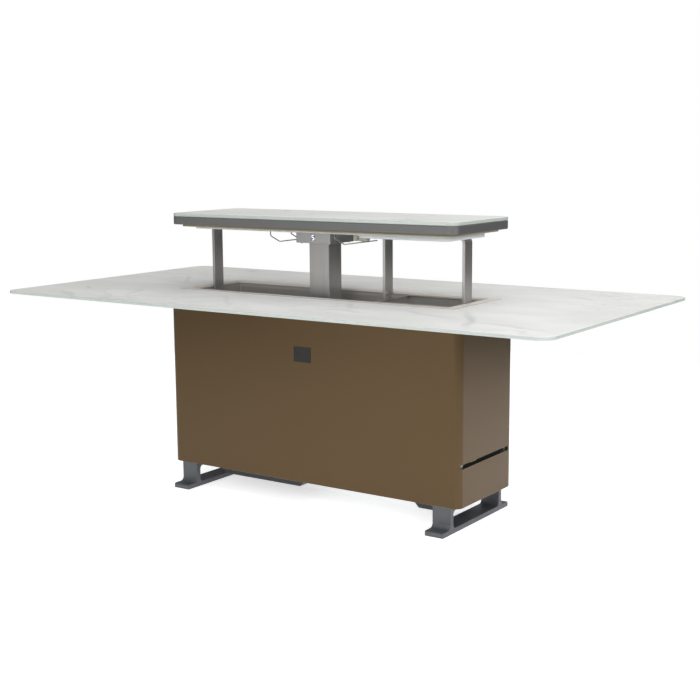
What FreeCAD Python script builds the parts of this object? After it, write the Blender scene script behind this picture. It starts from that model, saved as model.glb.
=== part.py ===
# Refrigerator dining table: a glass-topped table over a cooled well, with a lid that lifts on a column.
# Millimetres, +Z up, length along X, front towards -Y, origin on the floor under the middle of the top.
import FreeCAD, Part, Sketcher
import math
import os
from types import SimpleNamespace

doc = FreeCAD.newDocument("RefrigeratorTable")
sheet = doc.addObject("Spreadsheet::Sheet", "sizes")

driving = [
    ("table_length", "2210"),
    ("table_width", "1114"),
    ("table_height", "750"),
    ("table_corner", "50"),
    ("glass_thick", "10"),
    ("glass_arris", "1"),
    ("well_length", "1098"),
    ("well_width", "282"),
    ("well_corner", "5"),
    ("trim_end", "36"),
    ("trim_side", "25"),
    ("trim_thick", "1.5"),
    ("trim_corner", "3"),
    ("trim_skirt", "12"),
    ("skirt_thick", "1.5"),
    ("hole_clear", "2.5"),
    ("breaker_width", "8"),
    ("breaker_height", "5"),
    ("liner_thick", "1.5"),
    ("chamber_floor", "300"),
    ("foam_floor", "38"),
    ("end_wall", "71"),
    ("side_wall", "44"),
    ("cab_bottom", "92"),
    ("cab_corner", "25"),
    ("sheet_thick", "1.5"),
    ("rear_return", "40"),
    ("slot_low", "225"),
    ("slot_height", "15"),
    ("slot_front", "13"),
    ("slot_rear", "30"),
    ("baffle_gap", "22"),
    ("baffle_drop", "62"),
    ("louvre_length", "120"),
    ("louvre_height", "6"),
    ("louvre_pitch", "16"),
    ("pan_thick", "2"),
    ("badge_length", "72"),
    ("badge_height", "53"),
    ("badge_thick", "1.5"),
    ("badge_middle", "553"),
    ("badge_shift", "10.5"),
    ("chassis_size", "30"),
    ("chassis_inset", "9"),
    ("tube_wall", "2"),
    ("rail_height", "30"),
    ("rail_width", "34"),
    ("rail_inset", "175"),
    ("rail_gap", "1"),
    ("cross_width", "30"),
    ("arm_inset", "207"),
    ("arm_width", "40"),
    ("arm_end", "40"),
    ("arm_inner", "310"),
    ("pad_thick", "2"),
    ("pad_radius", "14"),
    ("pad_inset", "20"),
    ("foot_toe", "44.5"),
    ("foot_width", "70"),
    ("foot_bar", "18"),
    ("foot_top", "14"),
    ("foot_upright", "20"),
    ("foot_step", "50"),
    ("foot_inset", "70"),
    ("foot_window_corner", "12"),
    ("foot_fillet", "15"),
    ("foot_nose", "6"),
    ("bolt_radius", "4"),
    ("bolt_head_radius", "6.5"),
    ("bolt_head_height", "5"),
    ("bolt_spread", "200"),
    ("under_drop", "42"),
    ("under_width", "220"),
    ("under_wall", "3"),
    ("under_slope", "20"),
    ("under_left_length", "390"),
    ("under_left_gap", "60"),
    ("under_right_length", "105"),
    ("under_right_gap", "10.5"),
    ("lid_lip_end", "18"),
    ("lid_lip_side", "28"),
    ("lid_corner", "35"),
    ("lid_glass_thick", "11"),
    ("lid_frame_height", "30"),
    ("lid_frame_wall", "3"),
    ("lid_travel", "229"),
    ("seal_gap", "0.5"),
    ("gasket_height", "9"),
    ("gasket_corner", "10"),
    ("gasket_end", "25"),
    ("gasket_side", "21"),
    ("plug_gap", "6"),
    ("plug_side_gap", "10"),
    ("plug_corner", "22"),
    ("plug_drop", "8"),
    ("block_drop", "10"),
    ("block_lead", "36"),
    ("column_shift", "38"),
    ("column_length", "86"),
    ("column_depth", "80"),
    ("column_wall", "3"),
    ("column_corner", "6"),
    ("column_overlap", "260"),
    ("guide_clear", "0.4"),
    ("guide_wall", "3"),
    ("guide_flange", "20"),
    ("guide_flange_thick", "4"),
    ("collar_height", "8"),
    ("collar_gap", "6"),
    ("head_length", "150"),
    ("head_depth", "150"),
    ("head_height", "40"),
    ("head_corner", "5"),
    ("display_length", "16"),
    ("display_height", "22"),
    ("display_thick", "2"),
    ("nut_height", "25"),
    ("spindle_radius", "9"),
    ("spindle_clear", "0.3"),
    ("journal_radius", "6"),
    ("journal_length", "18"),
    ("journal_fit", "0.05"),
    ("motor_radius", "34"),
    ("motor_height", "70"),
    ("motor_hub_radius", "14"),
    ("motor_hub_height", "10"),
    ("post_width", "50"),
    ("post_thick", "11"),
    ("post_bend", "25"),
    ("hanger_gap", "3.5"),
    ("hanger_flange", "30"),
    ("bend_sunk", "12"),
    ("arm_short", "53"),
    ("hanger_tail", "12"),
    ("arm_clear", "26"),
    ("tray_wall", "1.5"),
    ("tray_corner", "6"),
    ("tray_gap", "16.6"),
    ("tray_left_side", "16"),
    ("tray_left_depth", "100"),
    ("third_gap", "13.6"),
    ("tray_right_side", "13"),
    ("tray_right_depth", "110"),
    ("tray_rim_drop", "4"),
    ("tray_front_flange", "45"),
    ("tray_rear_flange", "12"),
    ("screw_radius", "2.5"),
    ("screw_head_radius", "5"),
    ("screw_head_height", "3"),
    ("screw_pitch", "28"),
    ("screw_drop", "25"),
    ("hook_wire", "1.6"),
    ("hook_front", "95"),
    ("hook_rear", "27"),
    ("hook_leg", "18"),
    ("hook_drop", "37"),
    ("hook_dip", "41"),
    ("hook_slope", "92"),
    ("hook_narrow", "55"),
    ("hook_rise", "13"),
    ("hook_bar", "25"),
    ("hook_stub", "10"),
    ("hook_bend", "8"),
    ("hook_left_out", "211"),
    ("hook_right_in", "69"),
    ("evap_gap", "5"),
    ("evap_length", "194"),
    ("evap_wall", "1.5"),
    ("evap_coil_length", "130"),
    ("evap_coil_depth", "230"),
    ("evap_coil_height", "170"),
    ("fin_thick", "1"),
    ("coil_tube", "4.5"),
    ("evap_fan_size", "92"),
    ("evap_fan_height", "150"),
    ("cond_fan_size", "140"),
    ("fan_thick", "25"),
    ("fan_rim", "4"),
    ("fan_tip_gap", "4"),
    ("fan_hub_radius", "18"),
    ("fan_strut", "4"),
    ("fan_shaft", "3"),
    ("fan_fit", "0.05"),
    ("cond_end", "240"),
    ("cond_length", "60"),
    ("cond_depth", "260"),
    ("cond_height", "140"),
    ("comp_end", "290"),
    ("comp_radius", "72"),
    ("comp_height", "120"),
    ("comp_round", "34"),
    ("comp_plate_length", "190"),
    ("comp_plate_width", "130"),
    ("comp_plate_thick", "3"),
    ("grommet_radius", "11"),
    ("grommet_height", "14"),
    ("line_radius", "4"),
    ("line_bend", "24"),
    ("line_side", "125"),
    ("riser_side", "100"),
    ("riser_gap", "14"),
    ("control_end", "410"),
    ("control_length", "180"),
    ("control_width", "90"),
    ("control_height", "100"),
    ("control_front", "150"),
    ("inlet_end", "370"),
    ("inlet_middle", "150"),
    ("inlet_length", "60"),
    ("inlet_height", "34"),
    ("inlet_flange", "2.5"),
    ("inlet_depth", "30"),
    ("socket_length", "24"),
    ("socket_height", "18"),
    ("socket_depth", "18"),
    ("rocker_length", "12"),
    ("rocker_height", "18"),
    ("rocker_depth", "8"),
    ("rocker_clear", "1.2"),
    ("rocker_pin", "1.5"),
    ("rocker_tilt", "7"),
    ("wire_radius", "2"),
]
for row, (name, number) in enumerate(driving, start=1):
    sheet.set(f"A{row}", name)
    sheet.set(f"B{row}", number)
    sheet.setAlias(f"B{row}", name)
doc.recompute()


class Size:
    # A length that carries both its sheet formula and its present number.
    def __init__(self, text, value):
        self.text = text
        self.value = float(value)

    def __add__(self, other):
        other = as_size(other)
        return Size(f"({self.text} + {other.text})", self.value + other.value)

    def __sub__(self, other):
        other = as_size(other)
        return Size(f"({self.text} - {other.text})", self.value - other.value)

    def __mul__(self, other):
        other = as_size(other)
        return Size(f"({self.text} * {other.text})", self.value * other.value)

    def __truediv__(self, other):
        other = as_size(other)
        return Size(f"({self.text} / {other.text})", self.value / other.value)

    def __radd__(self, other):
        return as_size(other) + self

    def __rsub__(self, other):
        return as_size(other) - self

    def __rmul__(self, other):
        return as_size(other) * self

    def __neg__(self):
        return as_size(0) - self


def as_size(thing):
    if isinstance(thing, Size):
        return thing
    return Size(f"{float(thing):.6f}", thing)


s = SimpleNamespace(**{name: Size(f"sizes.{name}", sheet.get(name)) for name, _ in driving})
nodes = []


def bind(item, **formulas):
    for key, size in formulas.items():
        item.setExpression(key.replace("__", "."), as_size(size).text)


def node(item, label):
    item.Label = label
    nodes.append(item)
    return item


def solid(label, x=0, y=0, z=0, turn=None):
    # One piece as a body, placed where it stands.
    body = doc.addObject("PartDesign::Body", label)
    if turn is not None:
        body.Placement = FreeCAD.Placement(FreeCAD.Vector(), turn)
    bind(body, Placement__Base__x=x, Placement__Base__y=y, Placement__Base__z=z)
    return node(body, label)


def plane(body, role):
    return next(item for item in body.Origin.OriginFeatures if item.Role == role)


def draw_loop(sketch, length, width, corner=None, x=0, y=0):
    # A rectangle about (x, y), its corners rounded where a radius is given.
    length, width, x, y = as_size(length), as_size(width), as_size(x), as_size(y)
    a, b, mx, my = length.value / 2, width.value / 2, x.value, y.value
    r = as_size(corner).value if corner is not None else 0.0
    point = lambda px, py: FreeCAD.Vector(mx + px, my + py, 0)
    first = sketch.GeometryCount
    sides = [((-a + r, -b), (a - r, -b)), ((a, -b + r), (a, b - r))]
    sides += [((a - r, b), (-a + r, b)), ((-a, b - r), (-a, -b + r))]
    for begin, end in sides:
        sketch.addGeometry(Part.LineSegment(point(*begin), point(*end)), False)
    add = lambda *what: sketch.addConstraint(Sketcher.Constraint(*what))
    if corner is not None:
        spots = [(a - r, -b + r, 1.5), (a - r, b - r, 0.0), (-a + r, b - r, 0.5), (-a + r, -b + r, 1.0)]
        for px, py, turn in spots:
            circle = Part.Circle(point(px, py), FreeCAD.Vector(0, 0, 1), r)
            sketch.addGeometry(Part.ArcOfCircle(circle, turn * math.pi, (turn + 0.5) * math.pi), False)
        for side in range(4):
            add("Tangent", first + side, 2, first + 4 + side, 1)
            add("Tangent", first + 4 + side, 2, first + (side + 1) % 4, 1)
        for other in (5, 6, 7):
            add("Equal", first + 4, first + other)
        sketch.setExpression(f"Constraints[{add('Radius', first + 4, r)}]", as_size(corner).text)
    else:
        for side in range(4):
            add("Coincident", first + side, 2, first + (side + 1) % 4, 1)
    for side in (0, 2):
        add("Horizontal", first + side)
    for side in (1, 3):
        add("Vertical", first + side)
    bounds = [("DistanceX", 1, mx + a, x + length / 2), ("DistanceX", 3, mx - a, x - length / 2)]
    bounds += [("DistanceY", 2, my + b, y + width / 2), ("DistanceY", 0, my - b, y - width / 2)]
    for kind, side, number, size in bounds:
        mark = add(kind, -1, 1, first + side, 1, number)
        sketch.setExpression(f"Constraints[{mark}]", size.text)


def plate(body, low, height, *loops):
    # A flat layer of a body: the first loop is its outline, the rest are holes.
    sketch = body.newObject("Sketcher::SketchObject", f"{body.Name}_outline")
    sketch.AttachmentSupport = [(plane(body, "XY_Plane"), "")]
    sketch.MapMode = "FlatFace"
    bind(sketch, AttachmentOffset__Base__z=low)
    for loop in loops:
        draw_loop(sketch, *loop)
    pad = body.newObject("PartDesign::Pad", f"{body.Name}_layer")
    pad.Profile = sketch
    bind(pad, Length=height)
    sketch.Visibility = False
    return pad


def block(body, x, y, z, dx, dy, dz, remove=False):
    # A box added to or taken from a body, given by its low corner.
    kind = "PartDesign::SubtractiveBox" if remove else "PartDesign::AdditiveBox"
    item = body.newObject(kind, f"{body.Name}_block")
    bind(item, Length=dx, Width=dy, Height=dz)
    bind(item, Placement__Base__x=x, Placement__Base__y=y, Placement__Base__z=z)
    return item


axis_turn = {
    "X": FreeCAD.Rotation(FreeCAD.Vector(0, 1, 0), 90),
    "Y": FreeCAD.Rotation(FreeCAD.Vector(1, 0, 0), -90),
    "Z": FreeCAD.Rotation(),
}


def barrel(body, axis, x, y, z, radius, length, remove=False):
    # A cylinder added to or taken from a body, from the middle of its start face along an axis.
    kind = "PartDesign::SubtractiveCylinder" if remove else "PartDesign::AdditiveCylinder"
    item = body.newObject(kind, f"{body.Name}_barrel")
    item.Placement = FreeCAD.Placement(FreeCAD.Vector(), axis_turn[axis])
    bind(item, Radius=radius, Height=length)
    bind(item, Placement__Base__x=x, Placement__Base__y=y, Placement__Base__z=z)
    return item


def near(a, b):
    return abs(float(a) - float(b)) < 0.02


def runs_along(edge, axis):
    begin, end = edge.Vertexes[0].Point, edge.Vertexes[-1].Point
    sides = [k for k in range(3) if k != axis]
    return all(near(begin[k], end[k]) for k in sides) and not near(begin[axis], end[axis])


def dress(body, kind, size, picked):
    # Rounds or chamfers the edges of a body that a test picks.
    doc.recompute()
    base = body.Tip
    names = [f"Edge{k}" for k, edge in enumerate(base.Shape.Edges, start=1) if picked(edge)]
    item = body.newObject(f"PartDesign::{kind}", f"{body.Name}_{kind.lower()}")
    item.Base = (base, names)
    bind(item, **{"Radius" if kind == "Fillet" else "Size": size})
    return item


def box(x, y, z, dx, dy, dz):
    item = doc.addObject("Part::Box", "bar")
    bind(item, Length=dx, Width=dy, Height=dz)
    bind(item, Placement__Base__x=x, Placement__Base__y=y, Placement__Base__z=z)
    return item


def rod(axis, x, y, z, radius, length):
    item = doc.addObject("Part::Cylinder", "rod")
    item.Placement = FreeCAD.Placement(FreeCAD.Vector(), axis_turn[axis])
    bind(item, Radius=radius, Height=length)
    bind(item, Placement__Base__x=x, Placement__Base__y=y, Placement__Base__z=z)
    return item


def less(base, tool):
    item = doc.addObject("Part::Cut", "hollow")
    item.Base = base
    item.Tool = tool
    return item


def joined(items, label=None):
    item = doc.addObject("Part::MultiFuse", label or "joined")
    item.Shapes = items
    item.Refine = True
    return node(item, label) if label else item


def group(label, items):
    item = doc.addObject("Part::Compound", label)
    item.Links = items
    return node(item, label)


def tube(axis, x, y, z, dx, dy, dz, wall):
    # A square tube, open at both ends along its axis.
    start = {"X": (x, y + wall, z + wall), "Y": (x + wall, y, z + wall), "Z": (x + wall, y + wall, z)}[axis]
    span = {"X": (dx, dy - 2 * wall, dz - 2 * wall), "Y": (dx - 2 * wall, dy, dz - 2 * wall)}
    span["Z"] = (dx - 2 * wall, dy - 2 * wall, dz)
    return less(box(x, y, z, dx, dy, dz), box(*start, *span[axis]))


def bent_wire(points, radius, bend):
    # A round wire along straight runs joined by tangent arcs.
    spots = [FreeCAD.Vector(*point) for point in points]
    edges = []
    begin = spots[0]
    for k in range(1, len(spots) - 1):
        back = (spots[k - 1] - spots[k]).normalize()
        ahead = (spots[k + 1] - spots[k]).normalize()
        half = back.getAngle(ahead) / 2
        reach = bend / math.tan(half)
        bisector = (back + ahead).normalize()
        first = spots[k] + back * reach
        last = spots[k] + ahead * reach
        middle = spots[k] + bisector * (bend / math.sin(half) - bend)
        edges += [Part.LineSegment(begin, first).toShape(), Part.Arc(first, middle, last).toShape()]
        begin = last
    edges.append(Part.LineSegment(begin, spots[-1]).toShape())
    path = Part.Wire(edges)
    start = (spots[1] - spots[0]).normalize()
    ring = Part.Wire([Part.Circle(spots[0], start, radius).toShape()])
    return path.makePipeShell([ring], True, True)


def drawn(label, shape):
    item = doc.addObject("Part::Feature", label)
    item.Shape = shape
    return node(item, label)


# Lengths that follow from the well, the table and the clearances between pieces.
s.cab_length = s.well_length + 2 * s.end_wall
s.cab_width = s.well_width + 2 * s.side_wall
s.slot_length = s.cab_width - s.slot_front - s.slot_rear
s.cond_left = s.cab_length / 2 - s.cond_end
s.comp_place = s.cab_length / 2 - s.comp_end
s.control_place = s.cab_length / 2 - s.control_end
s.inlet_place = s.cab_length / 2 - s.inlet_end
s.rail_length = s.table_length - 2 * s.rail_inset
s.arm_reach = s.table_width / 2 - s.arm_inset
s.arm_outer = s.rail_length / 2 - s.arm_end
s.foot_length = s.cab_width + 2 * s.foot_toe
s.foot_spread = s.cab_length - 2 * s.foot_inset
under_limit = s.foot_spread / 2 - s.foot_width / 2
s.under_left_middle = under_limit - s.under_left_gap - s.under_left_length / 2
s.under_right_middle = under_limit - s.under_right_gap - s.under_right_length / 2
s.trim_length = s.well_length + 2 * s.trim_end
s.trim_width = s.well_width + 2 * s.trim_side
s.lid_length = s.trim_length + 2 * s.lid_lip_end
s.lid_width = s.trim_width + 2 * s.lid_lip_side
s.plug_length = s.well_length - 2 * s.plug_gap
s.plug_width = s.well_width - 2 * s.plug_side_gap
s.tray_left_width = s.well_width - 2 * s.tray_left_side
s.tray_right_width = s.well_width - 2 * s.tray_right_side

# Heights and places that several pieces share.
glass_low = s.table_height - s.glass_thick
rail_top = glass_low - s.pad_thick
rail_low = rail_top - s.rail_height
trim_top = s.table_height + s.trim_thick
liner_top = s.table_height - s.trim_skirt - s.breaker_height
cab_in_x = s.cab_length / 2 - s.sheet_thick
cab_in_y = s.cab_width / 2 - s.sheet_thick
cab_in_corner = s.cab_corner - s.sheet_thick
pan_top = s.cab_bottom + s.pan_thick
liner_low = s.chamber_floor - s.liner_thick
foam_low = liner_low - s.foam_floor
gasket_low = trim_top + s.seal_gap + s.lid_travel
frame_low = gasket_low + s.gasket_height
frame_top = frame_low + s.lid_frame_height
plug_low = gasket_low - s.plug_drop
block_low = plug_low - s.block_drop
head_low = plug_low - s.head_height
guide_top = head_low - s.lid_travel - s.collar_height - s.collar_gap
column_x = -s.column_shift
column_low = guide_top - s.column_overlap
guide_in_x = s.column_length + 2 * s.guide_clear
guide_in_y = s.column_depth + 2 * s.guide_clear
guide_out_x = guide_in_x + 2 * s.guide_wall
guide_out_y = guide_in_y + 2 * s.guide_wall
guide_corner = s.column_corner + s.guide_clear
well_loop = (s.well_length, s.well_width, s.well_corner)
guide_loop = (guide_out_x, guide_out_y, guide_corner + s.guide_wall, column_x)
guide_bore = (guide_in_x, guide_in_y, guide_corner, column_x)
evap_x = column_x + guide_out_x / 2 + s.evap_gap
left_out = s.hanger_gap - s.well_length / 2
left_in = left_out + s.post_thick
right_out = -left_out
right_in = right_out - s.post_thick
third_out = evap_x + s.evap_length + s.third_gap
third_in = third_out + s.post_thick
s.tray_left_length = column_x - guide_out_x / 2 - s.tray_gap - left_in
s.tray_right_length = right_in - third_in
s.hanger_arm = s.tray_left_length + s.post_thick - s.arm_short
s.block_length = s.plug_length / 2 - third_out + s.block_lead


def around_well(margin):
    return (s.well_length + 2 * margin, s.well_width + 2 * margin, s.well_corner + margin)


# Glass top with the well cut through it.
top = solid("tabletop_glass")
table_loop = (s.table_length, s.table_width, s.table_corner)
plate(top, glass_low, s.glass_thick, table_loop, around_well(s.skirt_thick + s.hole_clear))
outer_x = s.table_length.value / 2 - s.table_corner.value
outer_y = s.table_width.value / 2 - s.table_corner.value
on_rim = lambda edge: max(abs(edge.CenterOfMass.x) / outer_x, abs(edge.CenterOfMass.y) / outer_y) > 1
flat = lambda edge: near(edge.BoundBox.ZMin, edge.BoundBox.ZMax)
dress(top, "Chamfer", s.glass_arris, lambda edge: flat(edge) and on_rim(edge))

# Trim, thermal break and liner of the well.
trim = solid("well_trim")
trim_loop = (s.trim_length, s.trim_width, s.trim_corner)
plate(trim, s.table_height, s.trim_thick, trim_loop, well_loop)
plate(trim, s.table_height - s.trim_skirt, s.trim_skirt, around_well(s.skirt_thick), well_loop)

breaker = solid("thermal_break")
plate(breaker, liner_top, s.breaker_height, around_well(s.breaker_width), well_loop)

riser_x = column_x + guide_out_x / 2 + s.evap_gap + s.evap_length - s.evap_wall - s.riser_gap
liner = solid("chamber_liner")
plate(liner, liner_low, s.liner_thick, around_well(s.liner_thick), guide_loop)
plate(liner, s.chamber_floor, liner_top - s.chamber_floor, around_well(s.liner_thick), well_loop)
plate(liner, liner_top - s.liner_thick, s.liner_thick, around_well(s.breaker_width), well_loop)
barrel(liner, "Z", riser_x, s.riser_side, liner_low - 1, s.line_radius, s.liner_thick + 2, remove=True)

chassis_x = cab_in_x - s.chassis_inset - s.chassis_size
chassis_y = cab_in_y - s.chassis_inset - s.chassis_size
foam = solid("insulation_foam")
cabinet_inside = (2 * cab_in_x, 2 * cab_in_y, cab_in_corner)
plate(foam, foam_low, s.foam_floor, cabinet_inside, guide_loop)
plate(foam, liner_low, rail_low - liner_low, cabinet_inside, around_well(s.liner_thick))
barrel(foam, "Z", riser_x, s.riser_side, foam_low - 1, s.line_radius, s.foam_floor + 2, remove=True)
corners = [(chassis_x, chassis_y), (-chassis_x - s.chassis_size, chassis_y)]
corners += [(x, -chassis_y - s.chassis_size) for x, _ in corners]
for x, y in corners:
    block(foam, x, y, foam_low - 1, s.chassis_size, s.chassis_size, rail_low - foam_low + 2, remove=True)

# Cabinet: one wrapped sheet with rounded corners, an end slot each side, and a rear panel.
wrap = solid("cabinet_wrap")
cabinet_loop = (s.cab_length, s.cab_width, s.cab_corner)
plate(wrap, s.cab_bottom, rail_low - s.cab_bottom, cabinet_loop, cabinet_inside)
rear_x = s.cab_length / 2 - s.rear_return
rear_rise = rail_low - s.cab_bottom + 2
block(wrap, -rear_x, cab_in_y - 1, s.cab_bottom - 1, 2 * rear_x, s.sheet_thick + 2, rear_rise, remove=True)
slot_y = s.slot_front - s.cab_width / 2
slot_deep = s.cab_corner / 3
for x in (cab_in_x - slot_deep, -s.cab_length / 2 - 1):
    slot_reach = s.sheet_thick + slot_deep + 1
    block(wrap, x, slot_y, s.slot_low, slot_reach, s.slot_length, s.slot_height, remove=True)

rear = solid("rear_panel")
block(rear, -rear_x, cab_in_y, s.cab_bottom, 2 * rear_x, s.sheet_thick, rail_low - s.cab_bottom)
for x in (-s.comp_place, s.cond_left + s.cond_length):
    for k in range(6):
        z = s.inlet_middle - 3 * s.louvre_pitch + k * s.louvre_pitch
        louvre_x = x - s.louvre_length / 2
        louvre_size = (s.louvre_length, s.sheet_thick + 2, s.louvre_height)
        block(rear, louvre_x, cab_in_y - 1, z, *louvre_size, remove=True)
inlet_in_x = s.inlet_length - 10
inlet_in_z = s.inlet_height - 8
inlet_low = s.inlet_middle - inlet_in_z / 2
inlet_x = s.inlet_place - inlet_in_x / 2
block(rear, inlet_x, cab_in_y - 1, inlet_low, inlet_in_x, s.sheet_thick + 2, inlet_in_z, remove=True)

heads = []
for x in (-1, -0.34, 0.34, 1):
    for z in (s.cab_bottom + s.rear_return / 2, rail_low - s.rear_return / 2):
        head_x = x * (rear_x - s.rear_return / 2)
        heads.append(rod("Y", head_x, s.cab_width / 2, z, s.screw_head_radius, s.screw_head_height))
group("panel_screws", heads)

baffles = []
for x in (cab_in_x - s.baffle_gap, -cab_in_x + s.baffle_gap - s.sheet_thick):
    baffle_low = foam_low - s.baffle_drop
    baffles.append(box(x, 1 - chassis_y, baffle_low, s.sheet_thick, 2 * chassis_y - 2, s.baffle_drop))
group("vent_baffles", baffles)

badge = solid("badge_plate", -s.badge_shift, -s.cab_width / 2, s.badge_middle)
badge_size = (s.badge_length, s.badge_thick, s.badge_height)
block(badge, -s.badge_length / 2, -s.badge_thick, -s.badge_height / 2, *badge_size)

# Base pan, chassis posts and the tube frame that carries the glass.
foot_x = s.foot_spread / 2
bolt_spots = [(x, y) for x in (-foot_x, foot_x) for y in (-s.bolt_spread / 2, s.bolt_spread / 2)]
pan = solid("base_pan")
plate(pan, s.cab_bottom, s.pan_thick, cabinet_inside)
for x, y in bolt_spots:
    barrel(pan, "Z", x, y, s.cab_bottom - 1, s.bolt_radius, s.pan_thick + 2, remove=True)

group("chassis_posts", [
    tube("Z", x, y, pan_top, s.chassis_size, s.chassis_size, rail_low - pan_top, s.tube_wall)
    for x, y in corners
])

rail_y = s.well_width / 2 + s.breaker_width + s.rail_gap
rails = [rail_y, -rail_y - s.rail_width]
group("top_rails", [
    tube("X", -s.rail_length / 2, y, rail_low, s.rail_length, s.rail_width, s.rail_height, s.tube_wall)
    for y in rails
])
cross_x = s.well_length / 2 + s.breaker_width + s.rail_gap
cross_spots = [cross_x, -cross_x - s.cross_width, s.rail_length / 2 - s.cross_width, -s.rail_length / 2]
group("cross_tubes", [
    tube("Y", x, -rail_y, rail_low, s.cross_width, 2 * rail_y, s.rail_height, s.tube_wall)
    for x in cross_spots
])
arm_y = rail_y + s.rail_width
arm_spots = [-s.arm_outer, -s.arm_inner, s.arm_inner, s.arm_outer]
arms = []
pads = []
for x in arm_spots:
    for y, pad_y in ((arm_y, s.arm_reach - s.pad_inset), (-s.arm_reach, s.pad_inset - s.arm_reach)):
        low_x = x - s.arm_width / 2
        arm_size = (s.arm_width, s.arm_reach - arm_y, s.rail_height)
        arms.append(tube("Y", low_x, y, rail_low, *arm_size, s.tube_wall))
        pads.append(rod("Z", x, pad_y, rail_top, s.pad_radius, s.pad_thick))
    for y in (rail_y + s.rail_width / 2, -rail_y - s.rail_width / 2):
        pads.append(rod("Z", x, y, rail_top, s.pad_radius, s.pad_thick))
group("support_arms", arms)
group("glass_pads", pads)

# Feet: a floor bar, two uprights and a top bar around a window.
for label, x in (("foot_left", -foot_x), ("foot_right", foot_x)):
    foot = solid(label, x)
    half = s.foot_width / 2
    upright_y = s.foot_length / 2 - s.foot_step
    block(foot, -half, -s.foot_length / 2, 0, s.foot_width, s.foot_length, s.foot_bar)
    block(foot, -half, -upright_y, s.cab_bottom - s.foot_top, s.foot_width, 2 * upright_y, s.foot_top)
    for y in (-upright_y, upright_y - s.foot_upright):
        upright_rise = s.cab_bottom - s.foot_bar - s.foot_top
        block(foot, -half, y, s.foot_bar, s.foot_width, s.foot_upright, upright_rise)
    inner_y = (upright_y - s.foot_upright).value
    at_y = lambda e, y: runs_along(e, 0) and near(abs(e.CenterOfMass.y), y)
    window = lambda e: at_y(e, inner_y)
    shoulder = lambda e: at_y(e, upright_y.value) and near(e.CenterOfMass.z, s.foot_bar.value)
    nose = lambda e: at_y(e, s.foot_length.value / 2) and e.CenterOfMass.z > 1
    dress(foot, "Fillet", s.foot_window_corner, window)
    dress(foot, "Fillet", s.foot_fillet, shoulder)
    dress(foot, "Fillet", s.foot_nose, nose)
    for y in (-s.bolt_spread / 2, s.bolt_spread / 2):
        barrel(foot, "Z", 0, y, s.cab_bottom - s.foot_top - 1, s.bolt_radius, s.foot_top + 2, remove=True)

bolts = []
for x, y in bolt_spots:
    low = s.cab_bottom - s.foot_top
    shank = rod("Z", x, y, low - s.bolt_head_height, s.bolt_radius, pan_top - low + 2 * s.bolt_head_height)
    head = rod("Z", x, y, low - s.bolt_head_height, s.bolt_head_radius, s.bolt_head_height)
    bolts.append(joined([shank, head, rod("Z", x, y, pan_top, s.bolt_head_radius, s.bolt_head_height)]))
group("foot_bolts", bolts)

# Black trays hung under the base pan, their ends sloped.
under = [("undertray_left", -s.under_left_middle, s.under_left_length)]
under.append(("undertray_right", s.under_right_middle, s.under_right_length))
for label, x, length in under:
    tray = solid(label, x, 0, s.cab_bottom - s.under_drop)
    block(tray, -length / 2, -s.under_width / 2, 0, length, s.under_width, s.under_drop)
    dress(tray, "Chamfer", s.under_slope, lambda e: runs_along(e, 1) and near(e.CenterOfMass.z, 0))
    inside_x = length - 2 * s.under_slope - 2 * s.under_wall
    inside_y = s.under_width - 2 * s.under_wall
    block(tray, -inside_x / 2, -inside_y / 2, s.under_wall, inside_x, inside_y, s.under_drop, remove=True)

# Compressor on rubber grommets.
comp_low = pan_top + s.grommet_height
compressor = solid("compressor", -s.comp_place, 0, comp_low)
comp_plate = (s.comp_plate_length, s.comp_plate_width, s.comp_plate_thick)
block(compressor, -s.comp_plate_length / 2, -s.comp_plate_width / 2, 0, *comp_plate)
barrel(compressor, "Z", 0, 0, s.comp_plate_thick, s.comp_radius, s.comp_height)
crown = (s.comp_plate_thick + s.comp_height).value
crown_rim = lambda e: near(e.BoundBox.ZMin, crown) and near(e.BoundBox.ZMax, crown)
dress(compressor, "Fillet", s.comp_round, crown_rim)
grommets = []
for x in (-1, 1):
    for y in (-1, 1):
        gx = x * (s.comp_plate_length / 2 - s.grommet_radius) - s.comp_place
        gy = y * (s.comp_plate_width / 2 - s.grommet_radius)
        grommets.append(rod("Z", gx, gy, pan_top, s.grommet_radius, s.grommet_height))
group("compressor_grommets", grommets)


def finned_coil(label, x, low, length, depth, height, fins, rows):
    # Upright fins on cross tubes, standing on the given level.
    pieces = []
    for k in range(fins):
        y = -depth / 2 + (depth - s.fin_thick) * (k / (fins - 1))
        pieces.append(box(x, y, low, length, s.fin_thick, height))
    for k in range(rows):
        for side in (0.27, 0.73):
            z = low + height * ((k + 0.5) / rows)
            pieces.append(rod("Y", x + length * side, -depth / 2, z, s.coil_tube, depth))
    return joined(pieces, label)


finned_coil("condenser", s.cond_left, pan_top, s.cond_length, s.cond_depth, s.cond_height, 14, 4)


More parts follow.
